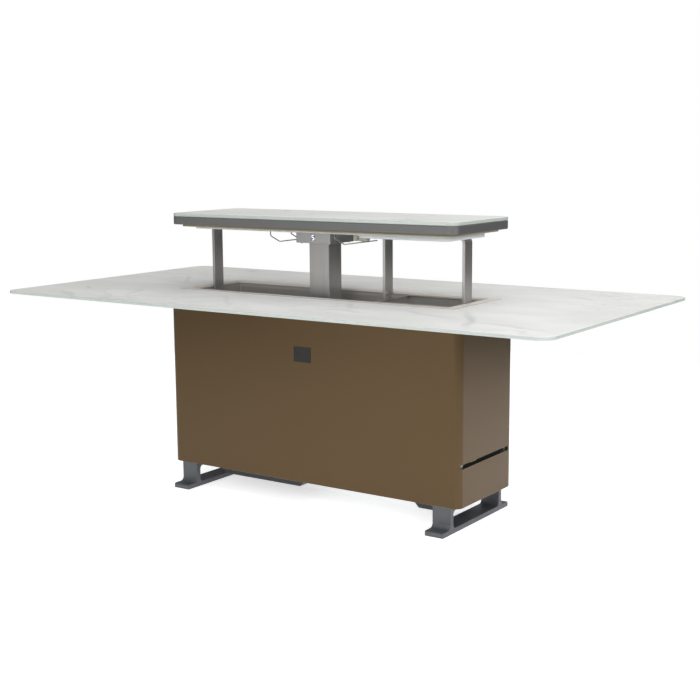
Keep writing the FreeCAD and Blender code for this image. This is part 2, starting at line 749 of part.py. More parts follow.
def fan(prefix, size, x, z):
    # A square fan frame with a strut-borne hub, and the rotor that turns on its shaft.
    frame = solid(f"{prefix}_frame", x, 0, z)
    hole = size / 2 - s.fan_rim
    hub_start = s.fan_thick - 2 * s.fan_strut
    block(frame, 0, -size / 2, -size / 2, s.fan_thick, size, size)
    barrel(frame, "X", -1, 0, 0, hole, s.fan_thick + 2, remove=True)
    strut_x = s.fan_thick - s.fan_strut
    block(frame, strut_x, -size / 2 + 1, -s.fan_strut, s.fan_strut, size - 2, 2 * s.fan_strut)
    block(frame, strut_x, -s.fan_strut, -size / 2 + 1, s.fan_strut, 2 * s.fan_strut, size - 2)
    barrel(frame, "X", hub_start, 0, 0, s.fan_hub_radius, 2 * s.fan_strut)
    barrel(frame, "X", hub_start - 1, 0, 0, s.fan_shaft + s.fan_fit, s.fan_strut + 2, remove=True)
    rotor_start = x + 2
    rotor_length = hub_start - 2 - 0.3
    pieces = [rod("X", rotor_start, 0, z, s.fan_hub_radius, rotor_length)]
    pieces.append(rod("X", rotor_start, 0, z, s.fan_shaft, rotor_length + s.fan_strut))
    reach = hole - s.fan_tip_gap - s.fan_hub_radius + 3
    chord = rotor_length * 1.2
    for k in range(5):
        blade = doc.addObject("Part::Box", f"{prefix}_blade")
        bind(blade, Length=s.fan_strut / 2, Width=chord, Height=reach)
        pitch = FreeCAD.Rotation(FreeCAD.Vector(0, 0, 1), 42)
        turn = FreeCAD.Rotation(FreeCAD.Vector(1, 0, 0), 72 * k).multiply(pitch)
        corner = FreeCAD.Vector(-s.fan_strut.value / 4, -chord.value / 2, s.fan_hub_radius.value - 3)
        middle = FreeCAD.Vector((rotor_start + rotor_length / 2).value, 0, z.value)
        blade.Placement = FreeCAD.Placement(middle + turn.multVec(corner), turn)
        pieces.append(blade)
    joined(pieces, f"{prefix}_rotor")


fan("condenser_fan", s.cond_fan_size, s.cond_left + s.cond_length, pan_top + s.cond_fan_size / 2)

# Evaporator in its cover, beside the column in the chamber, with the circulation fan on the cover's side.
evap_depth = s.well_width - 2 * s.evap_gap
evap_height = guide_top - s.chamber_floor
evap_fan_z = s.chamber_floor + evap_height - s.evap_fan_height
evap_coil = (s.evap_coil_length, s.evap_coil_depth, s.evap_coil_height)
finned_coil("evaporator", evap_x + 3 * s.evap_gap, s.chamber_floor, *evap_coil, 12, 4)
cover = solid("evaporator_cover")
evap_middle = evap_x + s.evap_length / 2
cover_loop = (s.evap_length, evap_depth, None, evap_middle)
cover_inside = (s.evap_length - 2 * s.evap_wall, evap_depth - 2 * s.evap_wall, None, evap_middle)
plate(cover, s.chamber_floor, evap_height - s.evap_wall, cover_loop, cover_inside)
plate(cover, guide_top - s.evap_wall, s.evap_wall, cover_loop)
face_x = evap_x + s.evap_length - s.evap_wall
barrel(cover, "X", face_x - 1, 0, evap_fan_z, s.evap_fan_size / 2 - s.fan_rim, s.evap_wall + 2, remove=True)
for k in range(5):
    z = s.chamber_floor + s.louvre_pitch * (k + 1)
    grille_y = -s.louvre_length / 2
    block(cover, face_x - 1, grille_y, z, s.evap_wall + 2, s.louvre_length, s.louvre_height, remove=True)
fan("circulation_fan", s.evap_fan_size, face_x - s.fan_thick, evap_fan_z)

# Refrigerant lines: compressor to condenser, and compressor up into the evaporator cover.
line_z = (comp_low + s.comp_height / 2).value
comp_x = -s.comp_place.value
comp_side = s.comp_radius.value
line_y = s.line_side.value
hot = [(comp_x, comp_side, line_z), (comp_x, line_y, line_z), (s.cond_left.value, line_y, line_z)]
drop = 6 * s.line_radius.value
turn_x = comp_x + 6 * s.line_radius.value
side_y = math.sqrt(comp_side ** 2 - (turn_x - comp_x) ** 2)
low_z = line_z - drop
riser_y = s.riser_side.value
cold = [(turn_x, side_y - 0.5, low_z), (turn_x, riser_y, low_z), (riser_x.value, riser_y, low_z)]
cold.append((riser_x.value, s.riser_side.value, s.chamber_floor.value + s.line_bend.value))
lines = [bent_wire(hot, s.line_radius.value, s.line_bend.value)]
cold_bend = min(s.line_bend.value, (s.riser_side.value - side_y) * 0.9)
lines.append(bent_wire(cold, s.line_radius.value, cold_bend).cut(compressor.Shape))
drawn("refrigerant_lines", Part.Compound([lines[0].cut(compressor.Shape), lines[1]]))

# Control box, mains inlet with its rocker, and an earth wire behind the end slot.
control = solid("control_box", s.control_place, -s.control_front, pan_top)
block(control, -s.control_length / 2, 0, 0, s.control_length, s.control_width, s.control_height)
dress(control, "Fillet", s.tray_corner, lambda e: runs_along(e, 2))

inlet = solid("power_inlet", s.inlet_place, s.cab_width / 2, s.inlet_middle)
block(inlet, -s.inlet_length / 2, 0, -s.inlet_height / 2, s.inlet_length, s.inlet_flange, s.inlet_height)
block(inlet, -inlet_in_x / 2, -s.inlet_depth, -inlet_in_z / 2, inlet_in_x, s.inlet_depth, inlet_in_z)
socket_x = -s.inlet_length / 2 + 8
socket_size = (s.socket_length, s.socket_depth + 1, s.socket_height)
block(inlet, socket_x, s.inlet_flange - s.socket_depth, -s.socket_height / 2, *socket_size, remove=True)
rocker_x = s.inlet_length / 2 - 8 - s.rocker_length / 2
rocker_span = s.rocker_length + 2 * s.rocker_clear
rocker_rise = s.rocker_height + 2 * s.rocker_clear
pin_y = s.inlet_flange - s.rocker_depth / 2
rocker_room = (rocker_span, 2 * s.rocker_depth, rocker_rise)
room_x = rocker_x - rocker_span / 2
block(inlet, room_x, pin_y - s.rocker_depth, -rocker_rise / 2, *rocker_room, remove=True)
pin_span = rocker_span + 2 * s.rocker_clear
barrel(inlet, "X", rocker_x - pin_span / 2, pin_y, 0, s.rocker_pin + s.fan_fit, pin_span, remove=True)
tilt = FreeCAD.Rotation(FreeCAD.Vector(1, 0, 0), s.rocker_tilt.value)
rocker = solid("mains_rocker", s.inlet_place + rocker_x, s.cab_width / 2 + pin_y, s.inlet_middle, tilt)
half_deep = s.rocker_depth / 2
rocker_size = (s.rocker_length, s.rocker_depth, s.rocker_height)
block(rocker, -s.rocker_length / 2, -half_deep, -s.rocker_height / 2, *rocker_size)
barrel(rocker, "X", -pin_span / 2 + 0.3, 0, 0, s.rocker_pin, pin_span - 0.6)

wire_x = (cab_in_x - s.baffle_gap / 2).value
wire_low = (s.slot_low + s.slot_height * 0.7).value
wire_y = (slot_y + s.slot_length * 0.2).value
wire_end = (slot_y + s.slot_length * 0.38).value
ceiling = foam_low.value
loop = [(wire_x, wire_y, ceiling), (wire_x, wire_y, wire_low)]
loop += [(wire_x, wire_end, wire_low - 3), (wire_x, wire_end, ceiling)]
drawn("earth_wire", bent_wire(loop, s.wire_radius.value, 5 * s.wire_radius.value))

# Lift: a guide tube on the base pan, a collar on it, the gear motor and its spindle.
guide = solid("column_guide")
plate(guide, pan_top, guide_top - pan_top, guide_loop, guide_bore)
flange_length = guide_out_x + 2 * s.guide_flange
flange_loop = (flange_length, guide_out_y + 2 * s.guide_flange, s.guide_flange / 2, column_x)
plate(guide, pan_top, s.guide_flange_thick, flange_loop, guide_bore)

collar = solid("guide_collar")
collar_ring = 2 * s.guide_wall
collar_loop = (guide_out_x + collar_ring, guide_out_y + collar_ring, guide_corner + collar_ring, column_x)
plate(collar, guide_top, s.collar_height, collar_loop, guide_bore)

motor = solid("lift_motor", column_x, 0, pan_top)
barrel(motor, "Z", 0, 0, 0, s.motor_radius, s.motor_height)
barrel(motor, "Z", 0, 0, s.motor_height, s.motor_hub_radius, s.motor_hub_height)
bore_low = s.motor_height + s.motor_hub_height - s.journal_length - 1
barrel(motor, "Z", 0, 0, bore_low, s.journal_radius + s.journal_fit, s.journal_length + 2, remove=True)

spindle_low = pan_top + s.motor_height + s.motor_hub_height + s.spindle_clear
spindle_top = guide_top - s.column_wall * 14
spindle = solid("lift_spindle", column_x)
barrel(spindle, "Z", 0, 0, spindle_low, s.spindle_radius, spindle_top - spindle_low)
barrel(spindle, "Z", 0, 0, spindle_low - s.journal_length, s.journal_radius, s.journal_length + 1)

# Moving column with its nut and head.
column_loop = (s.column_length, s.column_depth, s.column_corner, column_x)
column_walls = 2 * s.column_wall
column_room = (s.column_length - column_walls, s.column_depth - column_walls)
column_inside = (*column_room, s.column_corner - s.column_wall, column_x)
column = solid("lift_column")
plate(column, column_low, head_low - column_low, column_loop, column_inside)

nut = solid("lift_nut")
plate(nut, column_low, s.nut_height, column_inside)
nut_bore = s.spindle_radius + s.spindle_clear
barrel(nut, "Z", column_x, 0, column_low - 1, nut_bore, s.nut_height + 2, remove=True)

head = solid("column_head")
plate(head, head_low, s.head_height, (s.head_length, s.head_depth, s.head_corner, column_x))
display_low = head_low + (s.head_height - s.display_height) / 2
front_y = -s.head_depth / 2
display_size = (s.display_length, s.display_thick, s.display_height)
recess = (column_x - s.display_length / 2, front_y, display_low, *display_size)
block(head, *recess, remove=True)
display = solid("temperature_display")
block(display, *recess)

head_screws = []
for x in (-1, 1):
    for y in (-1, 1):
        hx = column_x + x * (s.head_length / 2 - 3 * s.screw_head_radius)
        hy = y * (s.head_depth / 2 - 3 * s.screw_head_radius)
        hz = head_low - s.screw_head_height
        head_screws.append(rod("Z", hx, hy, hz, s.screw_head_radius, s.screw_head_height))
group("head_screws", head_screws)

# Lid: glass on a framed core, a seal, and a plug with a thicker block at the right.
lid_loop = (s.lid_length, s.lid_width, s.lid_corner)
core_loop = tuple(size - 2 * s.lid_frame_wall for size in lid_loop[:2]) + (s.lid_corner - s.lid_frame_wall,)
plug_loop = (s.plug_length, s.plug_width, s.plug_corner)
lid_glass = solid("lid_glass")
plate(lid_glass, frame_top, s.lid_glass_thick, lid_loop)
dress(lid_glass, "Chamfer", s.glass_arris, lambda e: flat(e))
lid_frame = solid("lid_frame")
plate(lid_frame, frame_low, s.lid_frame_height, lid_loop, core_loop)
core = solid("lid_core")
plate(core, frame_low, s.lid_frame_height, core_loop)
gasket = solid("lid_gasket")
gasket_loop = (s.well_length + 2 * s.gasket_end, s.well_width + 2 * s.gasket_side, s.gasket_corner)
plate(gasket, gasket_low, s.gasket_height, gasket_loop, plug_loop)
plug = solid("lid_plug")
plate(plug, plug_low, frame_low - plug_low, plug_loop)
plug_block = solid("lid_plug_block")
block_middle = s.plug_length / 2 - s.block_length / 2
plate(plug_block, block_low, s.block_drop, (s.block_length, s.plug_width, s.plug_corner, block_middle))

# Hangers are flat bars. The left one is straight, with an arm under its tray.
# The middle one is straight. The right one bends inwards at its top, up to the block's underside.
half_post = s.post_width / 2
shelf_top = s.chamber_floor + s.lid_travel + s.arm_clear + s.post_thick
rim_top = s.table_height - s.tray_rim_drop
leg_low = rim_top - s.tray_right_depth - s.hanger_tail
screw_zs_left = [shelf_top + s.screw_drop, shelf_top + s.screw_drop + s.screw_pitch]
screw_zs_right = [rim_top - s.screw_drop, rim_top - s.screw_drop - s.screw_pitch]
hanger_left = solid("hanger_left")
arm_low = shelf_top - s.post_thick
block(hanger_left, left_out, -half_post, arm_low, s.post_thick, s.post_width, plug_low - arm_low)
block(hanger_left, left_out, -half_post, arm_low, s.hanger_arm, s.post_width, s.post_thick)
for z in screw_zs_left:
    barrel(hanger_left, "X", left_out - 1, 0, z, s.screw_radius, s.post_thick + 2, remove=True)

hanger_middle = solid("hanger_middle")
block(hanger_middle, third_out, -half_post, leg_low, s.post_thick, s.post_width, block_low - leg_low)

hanger_right = solid("hanger_right")
bend_top = block_low + s.bend_sunk
flange_low = bend_top - s.post_thick
flange_x = right_out - s.hanger_flange
block(hanger_right, right_in, -half_post, leg_low, s.post_thick, s.post_width, bend_top - leg_low)
block(hanger_right, flange_x, -half_post, flange_low, s.hanger_flange, s.post_width, s.post_thick)
inner_bend = s.post_bend - s.post_thick
for radius, x, z in ((s.post_bend, right_out, bend_top), (inner_bend, right_in, flange_low)):
    in_place = lambda e: near(e.CenterOfMass.x, x.value) and near(e.CenterOfMass.z, z.value)
    dress(hanger_right, "Fillet", radius, lambda e: runs_along(e, 1) and in_place(e))
cut = (s.hanger_flange + 2, s.post_width + 2, s.bend_sunk + 1)
block(hanger_right, flange_x - 1, -half_post - 1, block_low, *cut, remove=True)
for bar, x in ((hanger_middle, third_out), (hanger_right, right_in)):
    for z in screw_zs_right:
        barrel(bar, "X", x - 1, 0, z, s.screw_radius, s.post_thick + 2, remove=True)

# Trays between the hangers.
tray_left = solid("tray_left")
left_floor = shelf_top
left_middle = left_in + s.tray_left_length / 2
left_loop = (s.tray_left_length, s.tray_left_width, s.tray_corner, left_middle)
tray_walls = 2 * s.tray_wall
hollow_corner = s.tray_corner - s.tray_wall
left_hollow = (s.tray_left_length - tray_walls, s.tray_left_width - tray_walls, hollow_corner, left_middle)
plate(tray_left, left_floor, s.tray_wall, left_loop)
plate(tray_left, left_floor, s.tray_left_depth, left_loop, left_hollow)
for z in screw_zs_left:
    barrel(tray_left, "X", left_in - 1, 0, z, s.screw_radius, s.tray_wall + 2, remove=True)

tray_right = solid("tray_right")
right_middle = (third_in + right_in) / 2
right_loop = (s.tray_right_length, s.tray_right_width, s.tray_corner, right_middle)
right_hollow_length = s.tray_right_length - tray_walls
right_hollow = (right_hollow_length, s.tray_right_width - tray_walls, hollow_corner, right_middle)
mouth_width = s.tray_right_width - s.tray_front_flange - s.tray_rear_flange
mouth_y = (s.tray_front_flange - s.tray_rear_flange) / 2
mouth = (s.tray_right_length - 2 * s.tray_rear_flange, mouth_width, s.tray_corner, right_middle, mouth_y)
plate(tray_right, rim_top - s.tray_right_depth, s.tray_wall, right_loop)
plate(tray_right, rim_top - s.tray_right_depth, s.tray_right_depth, right_loop, right_hollow)
plate(tray_right, rim_top - s.tray_wall, s.tray_wall, right_loop, mouth)
for x in (third_in - 1, right_in - s.tray_wall - 1):
    for z in screw_zs_right:
        barrel(tray_right, "X", x, 0, z, s.screw_radius, s.tray_wall + 2, remove=True)

screws = []
spots = [(left_out, z, 1) for z in screw_zs_left]
spots += [(third_out, z, 1) for z in screw_zs_right] + [(right_out, z, -1) for z in screw_zs_right]
for x, z, side in spots:
    grip = s.post_thick + s.tray_wall
    low = x - s.screw_head_height if side > 0 else x - grip - s.screw_head_height
    shank = rod("X", low, 0, z, s.screw_radius, grip + 2 * s.screw_head_height)
    ends = [rod("X", low, 0, z, s.screw_head_radius, s.screw_head_height)]
    ends.append(rod("X", low + s.screw_head_height + grip, 0, z, s.screw_head_radius, s.screw_head_height))
    screws.append(joined([shank] + ends))
group("tray_screws", screws)

# Wire hooks for stemmed glasses. Each drops from two feet under the plug, dips and narrows to the right.
# The right hook ends in a round tip, and the left one is held by the side of the head.
hook_low = (plug_low - s.hook_drop).value
hook_turn = (plug_low - s.hook_leg).value
head_side = (column_x - s.head_length / 2).value


def hook_wire(feet, y, way, narrowed):
    # One side of a hook: foot, straight leg, dip, and the slope towards the tip, narrowed by a share of it.
    dip = feet + s.hook_dip.value
    far_y = y + way * s.hook_narrow.value * narrowed
    slope_end = (dip + s.hook_slope.value * narrowed, far_y, hook_low + s.hook_rise.value * narrowed)
    return [(feet, y, plug_low.value), (feet, y, hook_turn), (dip, y, hook_low), slope_end]


def hook(label, feet, held_at=None):
    front, rear = -s.hook_front.value, s.hook_rear.value
    wire, bend = s.hook_wire.value, s.hook_bend.value
    if held_at is None:
        route = hook_wire(feet, front, 1, 1) + hook_wire(feet, rear, -1, 1)[::-1]
        shapes = [bent_wire(route, wire, bend)]
    else:
        stub = held_at - s.hook_stub.value
        share = (stub - feet - s.hook_dip.value) / s.hook_slope.value
        shapes = []
        for y, way in ((front, 1), (rear, -1)):
            route = hook_wire(feet, y, way, share)
            shapes.append(bent_wire(route + [(held_at, *route[-1][1:])], wire, bend))
    share = s.hook_bar.value / s.hook_slope.value
    bar_start = FreeCAD.Vector(*hook_wire(feet, front, 1, share)[-1])
    bar_end = FreeCAD.Vector(*hook_wire(feet, rear, -1, share)[-1])
    bar = Part.makeCylinder(wire, (bar_end - bar_start).Length, bar_start, FreeCAD.Vector(0, 1, 0))
    drawn(label, bar.multiFuse(shapes))


hook("glass_hook_left", -s.hook_left_out.value, head_side)
hook("glass_hook_right", s.hook_right_in.value)

doc.recompute()
faults = [item.Name for item in doc.Objects if {"Invalid", "Error"} & set(item.State)]
for item in nodes:
    shape = item.Shape
    if shape.isNull() or not shape.isValid() or not shape.Solids:
        faults.append(item.Label)
if faults:
    raise RuntimeError("pieces that failed: " + ", ".join(faults))
os.makedirs("parts", exist_ok=True)
for item in nodes:
    item.Shape.exportStep(f"parts/{item.Label}.step")
    bound = item.Shape.BoundBox
    size = f"{bound.XLength:.1f} x {bound.YLength:.1f} x {bound.ZLength:.1f}"
    print(f"{item.Label}: {len(item.Shape.Solids)} solids, {size}")
print(len(nodes), "pieces")
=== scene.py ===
import bpy
import bmesh
import math
from mathutils import Matrix, Vector


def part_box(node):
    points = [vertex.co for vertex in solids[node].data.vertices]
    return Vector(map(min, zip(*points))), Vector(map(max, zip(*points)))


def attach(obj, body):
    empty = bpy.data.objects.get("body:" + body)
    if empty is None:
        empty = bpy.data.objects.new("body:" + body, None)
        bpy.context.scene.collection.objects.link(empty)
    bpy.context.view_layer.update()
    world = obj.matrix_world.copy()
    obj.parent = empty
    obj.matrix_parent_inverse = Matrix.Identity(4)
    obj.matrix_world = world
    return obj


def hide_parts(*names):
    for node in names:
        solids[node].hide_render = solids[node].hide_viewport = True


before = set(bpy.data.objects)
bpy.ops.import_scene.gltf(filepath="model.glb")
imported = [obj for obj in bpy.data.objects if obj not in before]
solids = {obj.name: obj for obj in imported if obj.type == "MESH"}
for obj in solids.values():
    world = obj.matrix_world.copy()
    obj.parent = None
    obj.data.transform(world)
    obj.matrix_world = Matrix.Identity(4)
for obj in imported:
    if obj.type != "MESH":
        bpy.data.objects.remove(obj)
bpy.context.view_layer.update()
print("frame loaded:", len(solids), "solids")

# Finishes


def addNode(tree, kind, **sets):
    made = tree.nodes.new("ShaderNode" + kind)
    for key, value in sets.items():
        socket = key.replace("_", " ")
        if socket in made.inputs:
            made.inputs[socket].default_value = value
        else:
            setattr(made, key, value)
    return made


def startFinish(name, look):
    finish = bpy.data.materials.new(name)
    finish.use_nodes = True
    tree = finish.node_tree
    shader = tree.nodes["Principled BSDF"]
    for socket, value in look.get("shader", {}).items():
        shader.inputs[socket].default_value = value
    place = addNode(tree, "TexCoord")
    return finish, tree, shader, place.outputs["Object"]


def tintRamp(tree, source, low, high, stops=(0.3, 0.7)):
    # a colour between two tints, by a grey value
    tint = addNode(tree, "ValToRGB")
    for stop, spot, colour in zip(tint.color_ramp.elements, stops, (low, high)):
        stop.position = spot
        stop.color = (*colour, 1.0)
    tree.links.new(source, tint.inputs["Fac"])
    return tint.outputs["Color"]


def glossRange(tree, source, shader, rough):
    gloss = addNode(tree, "MapRange", To_Min=rough[0], To_Max=rough[1])
    tree.links.new(source, gloss.inputs["Value"])
    tree.links.new(gloss.outputs["Result"], shader.inputs["Roughness"])


def grainFinish(name, look):
    # colour drift, gloss drift and a fine bump from one grain, stretched where the metal is brushed
    finish, tree, shader, place = startFinish(name, look)
    link = tree.links.new
    spread = addNode(tree, "Mapping", Scale=look.get("stretch", (1, 1, 1)))
    link(place, spread.inputs["Vector"])
    grain = addNode(tree, "TexNoise", Scale=look["grain"], Detail=4.0, Roughness=0.6)
    link(spread.outputs["Vector"], grain.inputs["Vector"])
    cloud = addNode(tree, "TexNoise", Scale=look.get("cloud", 3.0), Detail=2.0)
    link(place, cloud.inputs["Vector"])
    both = addNode(tree, "Mix", Factor=look.get("cloudShare", 0.35))
    link(grain.outputs["Fac"], both.inputs["A"])
    link(cloud.outputs["Fac"], both.inputs["B"])
    drift = look.get("drift", 0.06)
    low = [part * (1 - drift) for part in look["colour"]]
    high = [min(1.0, part * (1 + drift)) for part in look["colour"]]
    link(tintRamp(tree, both.outputs["Result"], low, high), shader.inputs["Base Color"])
    glossRange(tree, grain.outputs["Fac"], shader, look["rough"])
    bump = addNode(tree, "Bump", Strength=look.get("bump", 0.1), Distance=look.get("depth", 0.0004))
    link(grain.outputs["Fac"], bump.inputs["Height"])
    link(bump.outputs["Normal"], shader.inputs["Normal"])
    return finish


def softBand(tree, source, width, weight):
    # full weight at zero, fading out at the width
    away = addNode(tree, "Math", operation="ABSOLUTE")
    tree.links.new(source, away.inputs[0])
    band = addNode(tree, "MapRange", From_Max=width, To_Min=weight, To_Max=0.0,
                   interpolation_type="SMOOTHSTEP")
    tree.links.new(away.outputs["Value"], band.inputs["Value"])
    return band.outputs["Result"]


def joinMath(tree, kind, first, second):
    made = addNode(tree, "Math", operation=kind)
    for number, side in enumerate((first, second)):
        if isinstance(side, (int, float)):
            made.inputs[number].default_value = side
        else:
            tree.links.new(side, made.inputs[number])
    return made.outputs["Value"]


veinFade = 0.6  # share of a vein's length, from its middle, where it has faded out


def drawnVein(tree, place, vein):
    # one printed vein from a start to an end, wavering, widest and darkest at its middle
    start, end = Vector(vein["start"]), Vector(vein["end"])
    middle = (start + end) / 2
    turn = math.atan2(end.y - start.y, end.x - start.x)
    along = addNode(tree, "Mapping", vector_type="TEXTURE", Rotation=(0, 0, turn),
                    Location=(middle.x, middle.y, 0))
    tree.links.new(place, along.inputs["Vector"])
    parts = addNode(tree, "SeparateXYZ")
    tree.links.new(along.outputs["Vector"], parts.inputs["Vector"])
    across = softBand(tree, parts.outputs["Y"], vein["width"], vein["weight"])
    reach = softBand(tree, parts.outputs["X"], (end - start).length * veinFade, 1.0)
    return joinMath(tree, "MULTIPLY", across, reach)


def noiseVeins(tree, place, look):
    # thin bands where a noise passes its middle value, let through in patches
    shade = 0.0
    for scale, width, weight in look["veins"]:
        noise = addNode(tree, "TexNoise", Scale=scale, Detail=6.0, Roughness=0.55)
        tree.links.new(place, noise.inputs["Vector"])
        middle = joinMath(tree, "SUBTRACT", noise.outputs["Fac"], 0.5)
        shade = joinMath(tree, "MAXIMUM", softBand(tree, middle, width, weight), shade)
    patch = addNode(tree, "TexNoise", Scale=look["patchScale"], Detail=2.0)
    tree.links.new(place, patch.inputs["Vector"])
    shut, wide = look["patchGate"]
    gate = addNode(tree, "MapRange", From_Min=shut, From_Max=wide, interpolation_type="SMOOTHSTEP")
    tree.links.new(patch.outputs["Fac"], gate.inputs["Value"])
    return joinMath(tree, "MULTIPLY", shade, gate.outputs["Result"])


def marbleFinish(name, look):
    # white ground with soft clouds, drawn veins and a few faint ones from noise
    finish, tree, shader, place = startFinish(name, look)
    link = tree.links.new
    wander = addNode(tree, "TexNoise", Scale=look["wanderScale"], Detail=5.0, Roughness=0.6)
    link(place, wander.inputs["Vector"])
    level = addNode(tree, "VectorMath", operation="SUBTRACT")
    level.inputs[1].default_value = (0.5, 0.5, 0.5)
    link(wander.outputs["Color"], level.inputs[0])
    sway = addNode(tree, "VectorMath", operation="SCALE", Scale=look["wander"])
    link(level.outputs["Vector"], sway.inputs[0])
    bent = addNode(tree, "VectorMath", operation="ADD")
    link(place, bent.inputs[0])
    link(sway.outputs["Vector"], bent.inputs[1])
    slanted = addNode(tree, "Mapping", Rotation=(0, 0, look["slant"]), Scale=look["stretch"])
    link(bent.outputs["Vector"], slanted.inputs["Vector"])
    shade = noiseVeins(tree, slanted.outputs["Vector"], look)
    for vein in look["drawn"]:
        shade = joinMath(tree, "MAXIMUM", shade, drawnVein(tree, bent.outputs["Vector"], vein))
    cloud = addNode(tree, "TexNoise", Scale=look["cloudScale"], Detail=5.0, Distortion=0.6)
    link(slanted.outputs["Vector"], cloud.inputs["Vector"])
    ground = tintRamp(tree, cloud.outputs["Fac"], look["cloudColour"], look["colour"], look["cloudStops"])
    veined = addNode(tree, "MixRGB", Color2=(*look["veinColour"], 1))
    link(shade, veined.inputs["Fac"])
    link(ground, veined.inputs["Color1"])
    link(veined.outputs["Color"], shader.inputs["Base Color"])
    etch = addNode(tree, "TexNoise", Scale=look["etch"], Detail=2.0)
    link(place, etch.inputs["Vector"])
    glossRange(tree, etch.outputs["Fac"], shader, look["rough"])
    return finish


def spangleFinish(name, look):
    # zinc crystals on galvanised sheet
    finish, tree, shader, place = startFinish(name, look)
    crystals = addNode(tree, "TexVoronoi", Scale=look["crystals"])
    tree.links.new(place, crystals.inputs["Vector"])
    tint = tintRamp(tree, crystals.outputs["Color"], look["dark"], look["light"], (0.0, 1.0))
    tree.links.new(tint, shader.inputs["Base Color"])
    glossRange(tree, crystals.outputs["Distance"], shader, look["rough"])
    return finish


def digitFinish(name, look):
    # a lit segment, a little brighter in places
    finish, tree, shader, place = startFinish(name, look)
    glow = addNode(tree, "TexNoise", Scale=look["grain"], Detail=1.0)
    tree.links.new(place, glow.inputs["Vector"])
    tint = tintRamp(tree, glow.outputs["Fac"], look["low"], look["high"])
    tree.links.new(tint, shader.inputs["Emission Color"])
    tree.links.new(tint, shader.inputs["Base Color"])
    return finish


def veinRow(rows):
    names = ("start", "end", "width", "weight")
    return [dict(zip(names, row)) for row in rows]


marbleLook = {
    "colour": (0.82, 0.82, 0.81), "cloudColour": (0.745, 0.745, 0.735), "veinColour": (0.41, 0.41, 0.415),
    "slant": 0.9, "stretch": (0.9, 2.0, 1.0), "wander": 0.16, "wanderScale": 3.2,
    "veins": ((1.4, 0.030, 0.40), (3.3, 0.020, 0.28)), "patchScale": 1.3, "patchGate": (0.45, 0.68),
    "cloudScale": 2.6, "cloudStops": (0.35, 0.6), "etch": 900.0,
    "drawn": veinRow([
        ((0.61, -0.15), (0.84, -0.55), 0.024, 0.44), ((0.73, -0.39), (1.08, -0.44), 0.018, 0.34),
        ((-0.36, -0.19), (-0.06, -0.53), 0.020, 0.24), ((0.21, -0.18), (0.29, -0.33), 0.018, 0.30),
        ((0.42, -0.25), (0.68, -0.36), 0.020, 0.30), ((-0.98, -0.25), (-0.86, -0.37), 0.018, 0.30),
        ((-0.74, -0.20), (-0.60, -0.42), 0.020, 0.26), ((0.75, 0.40), (0.92, 0.23), 0.020, 0.26),
        ((-0.80, 0.53), (-0.67, 0.44), 0.045, 0.34), ((-0.35, 0.17), (-0.25, 0.06), 0.016, 0.34),
        ((-0.13, 0.05), (-0.06, -0.04), 0.012, 0.30), ((0.26, 0.18), (0.37, 0.09), 0.014, 0.34),
        ((-0.62, -0.05), (-0.94, 0.24), 0.014, 0.26),
    ]),
    "rough": (0.46, 0.58), "shader": {"IOR": 1.5, "Specular IOR Level": 0.2},
}
edgeLook = {"colour": (0.50, 0.545, 0.52), "grain": 60, "cloud": 5, "drift": 0.05, "rough": (0.10, 0.22),
            "bump": 0.02, "shader": {"IOR": 1.5}}
trimLook = {"colour": (0.80, 0.745, 0.68), "grain": 1.0, "stretch": (6, 900, 900), "drift": 0.10,
            "rough": (0.34, 0.48), "bump": 0.08, "shader": {"Metallic": 0.15}}
linerLook = {"colour": (0.40, 0.385, 0.365), "grain": 1.0, "stretch": (5, 700, 700), "drift": 0.12,
             "rough": (0.32, 0.48), "bump": 0.08, "shader": {"Metallic": 0.55}}
breakLook = {"colour": (0.38, 0.365, 0.345), "grain": 700, "drift": 0.12, "rough": (0.5, 0.65), "bump": 0.15}
collarLook = {"colour": (0.03, 0.03, 0.03), "grain": 700, "drift": 0.15, "rough": (0.5, 0.65), "bump": 0.15}
foamLook = {"colour": (0.70, 0.60, 0.36), "grain": 260, "drift": 0.14, "rough": (0.8, 0.95), "bump": 0.6,
            "depth": 0.002}
coreLook = {"colour": (0.50, 0.51, 0.52), "grain": 500, "drift": 0.05, "rough": (0.45, 0.6), "bump": 0.12}
bronzeLook = {"colour": (0.098, 0.0625, 0.0295), "grain": 1400, "cloud": 1.2, "drift": 0.07,
              "rough": (0.30, 0.42), "bump": 0.05,
              "shader": {"Metallic": 0.7, "Specular IOR Level": 0.2, "Coat Weight": 0.10,
                         "Coat Roughness": 0.3}}
screwLook = {"colour": (0.58, 0.58, 0.58), "grain": 900, "drift": 0.12, "rough": (0.22, 0.38), "bump": 0.08,
             "shader": {"Metallic": 1.0}}
sheetLook = {"colour": (0.025, 0.025, 0.026), "grain": 1200, "drift": 0.2, "rough": (0.45, 0.6), "bump": 0.12}
badgeLook = {"colour": (0.014, 0.013, 0.013), "grain": 800, "drift": 0.25, "rough": (0.3, 0.42), "bump": 0.04,
             "shader": {"Specular IOR Level": 0.3}}
railLook = {"colour": (0.035, 0.035, 0.038), "grain": 1000, "drift": 0.15, "rough": (0.4, 0.55), "bump": 0.12,
            "shader": {"Metallic": 0.2}}
rubberLook = {"colour": (0.02, 0.02, 0.02), "grain": 600, "drift": 0.2, "rough": (0.7, 0.85), "bump": 0.3}
footLook = {"colour": (0.094, 0.097, 0.108), "grain": 1100, "cloud": 6, "drift": 0.07, "rough": (0.38, 0.52),
            "bump": 0.1, "shader": {"Metallic": 0.4}}
mouldedLook = {"colour": (0.016, 0.016, 0.018), "grain": 850, "drift": 0.2, "rough": (0.38, 0.55),
               "bump": 0.25}
coilLook = {"colour": (0.55, 0.55, 0.55), "grain": 400, "drift": 0.1, "rough": (0.3, 0.5), "bump": 0.1,
            "shader": {"Metallic": 0.9}}
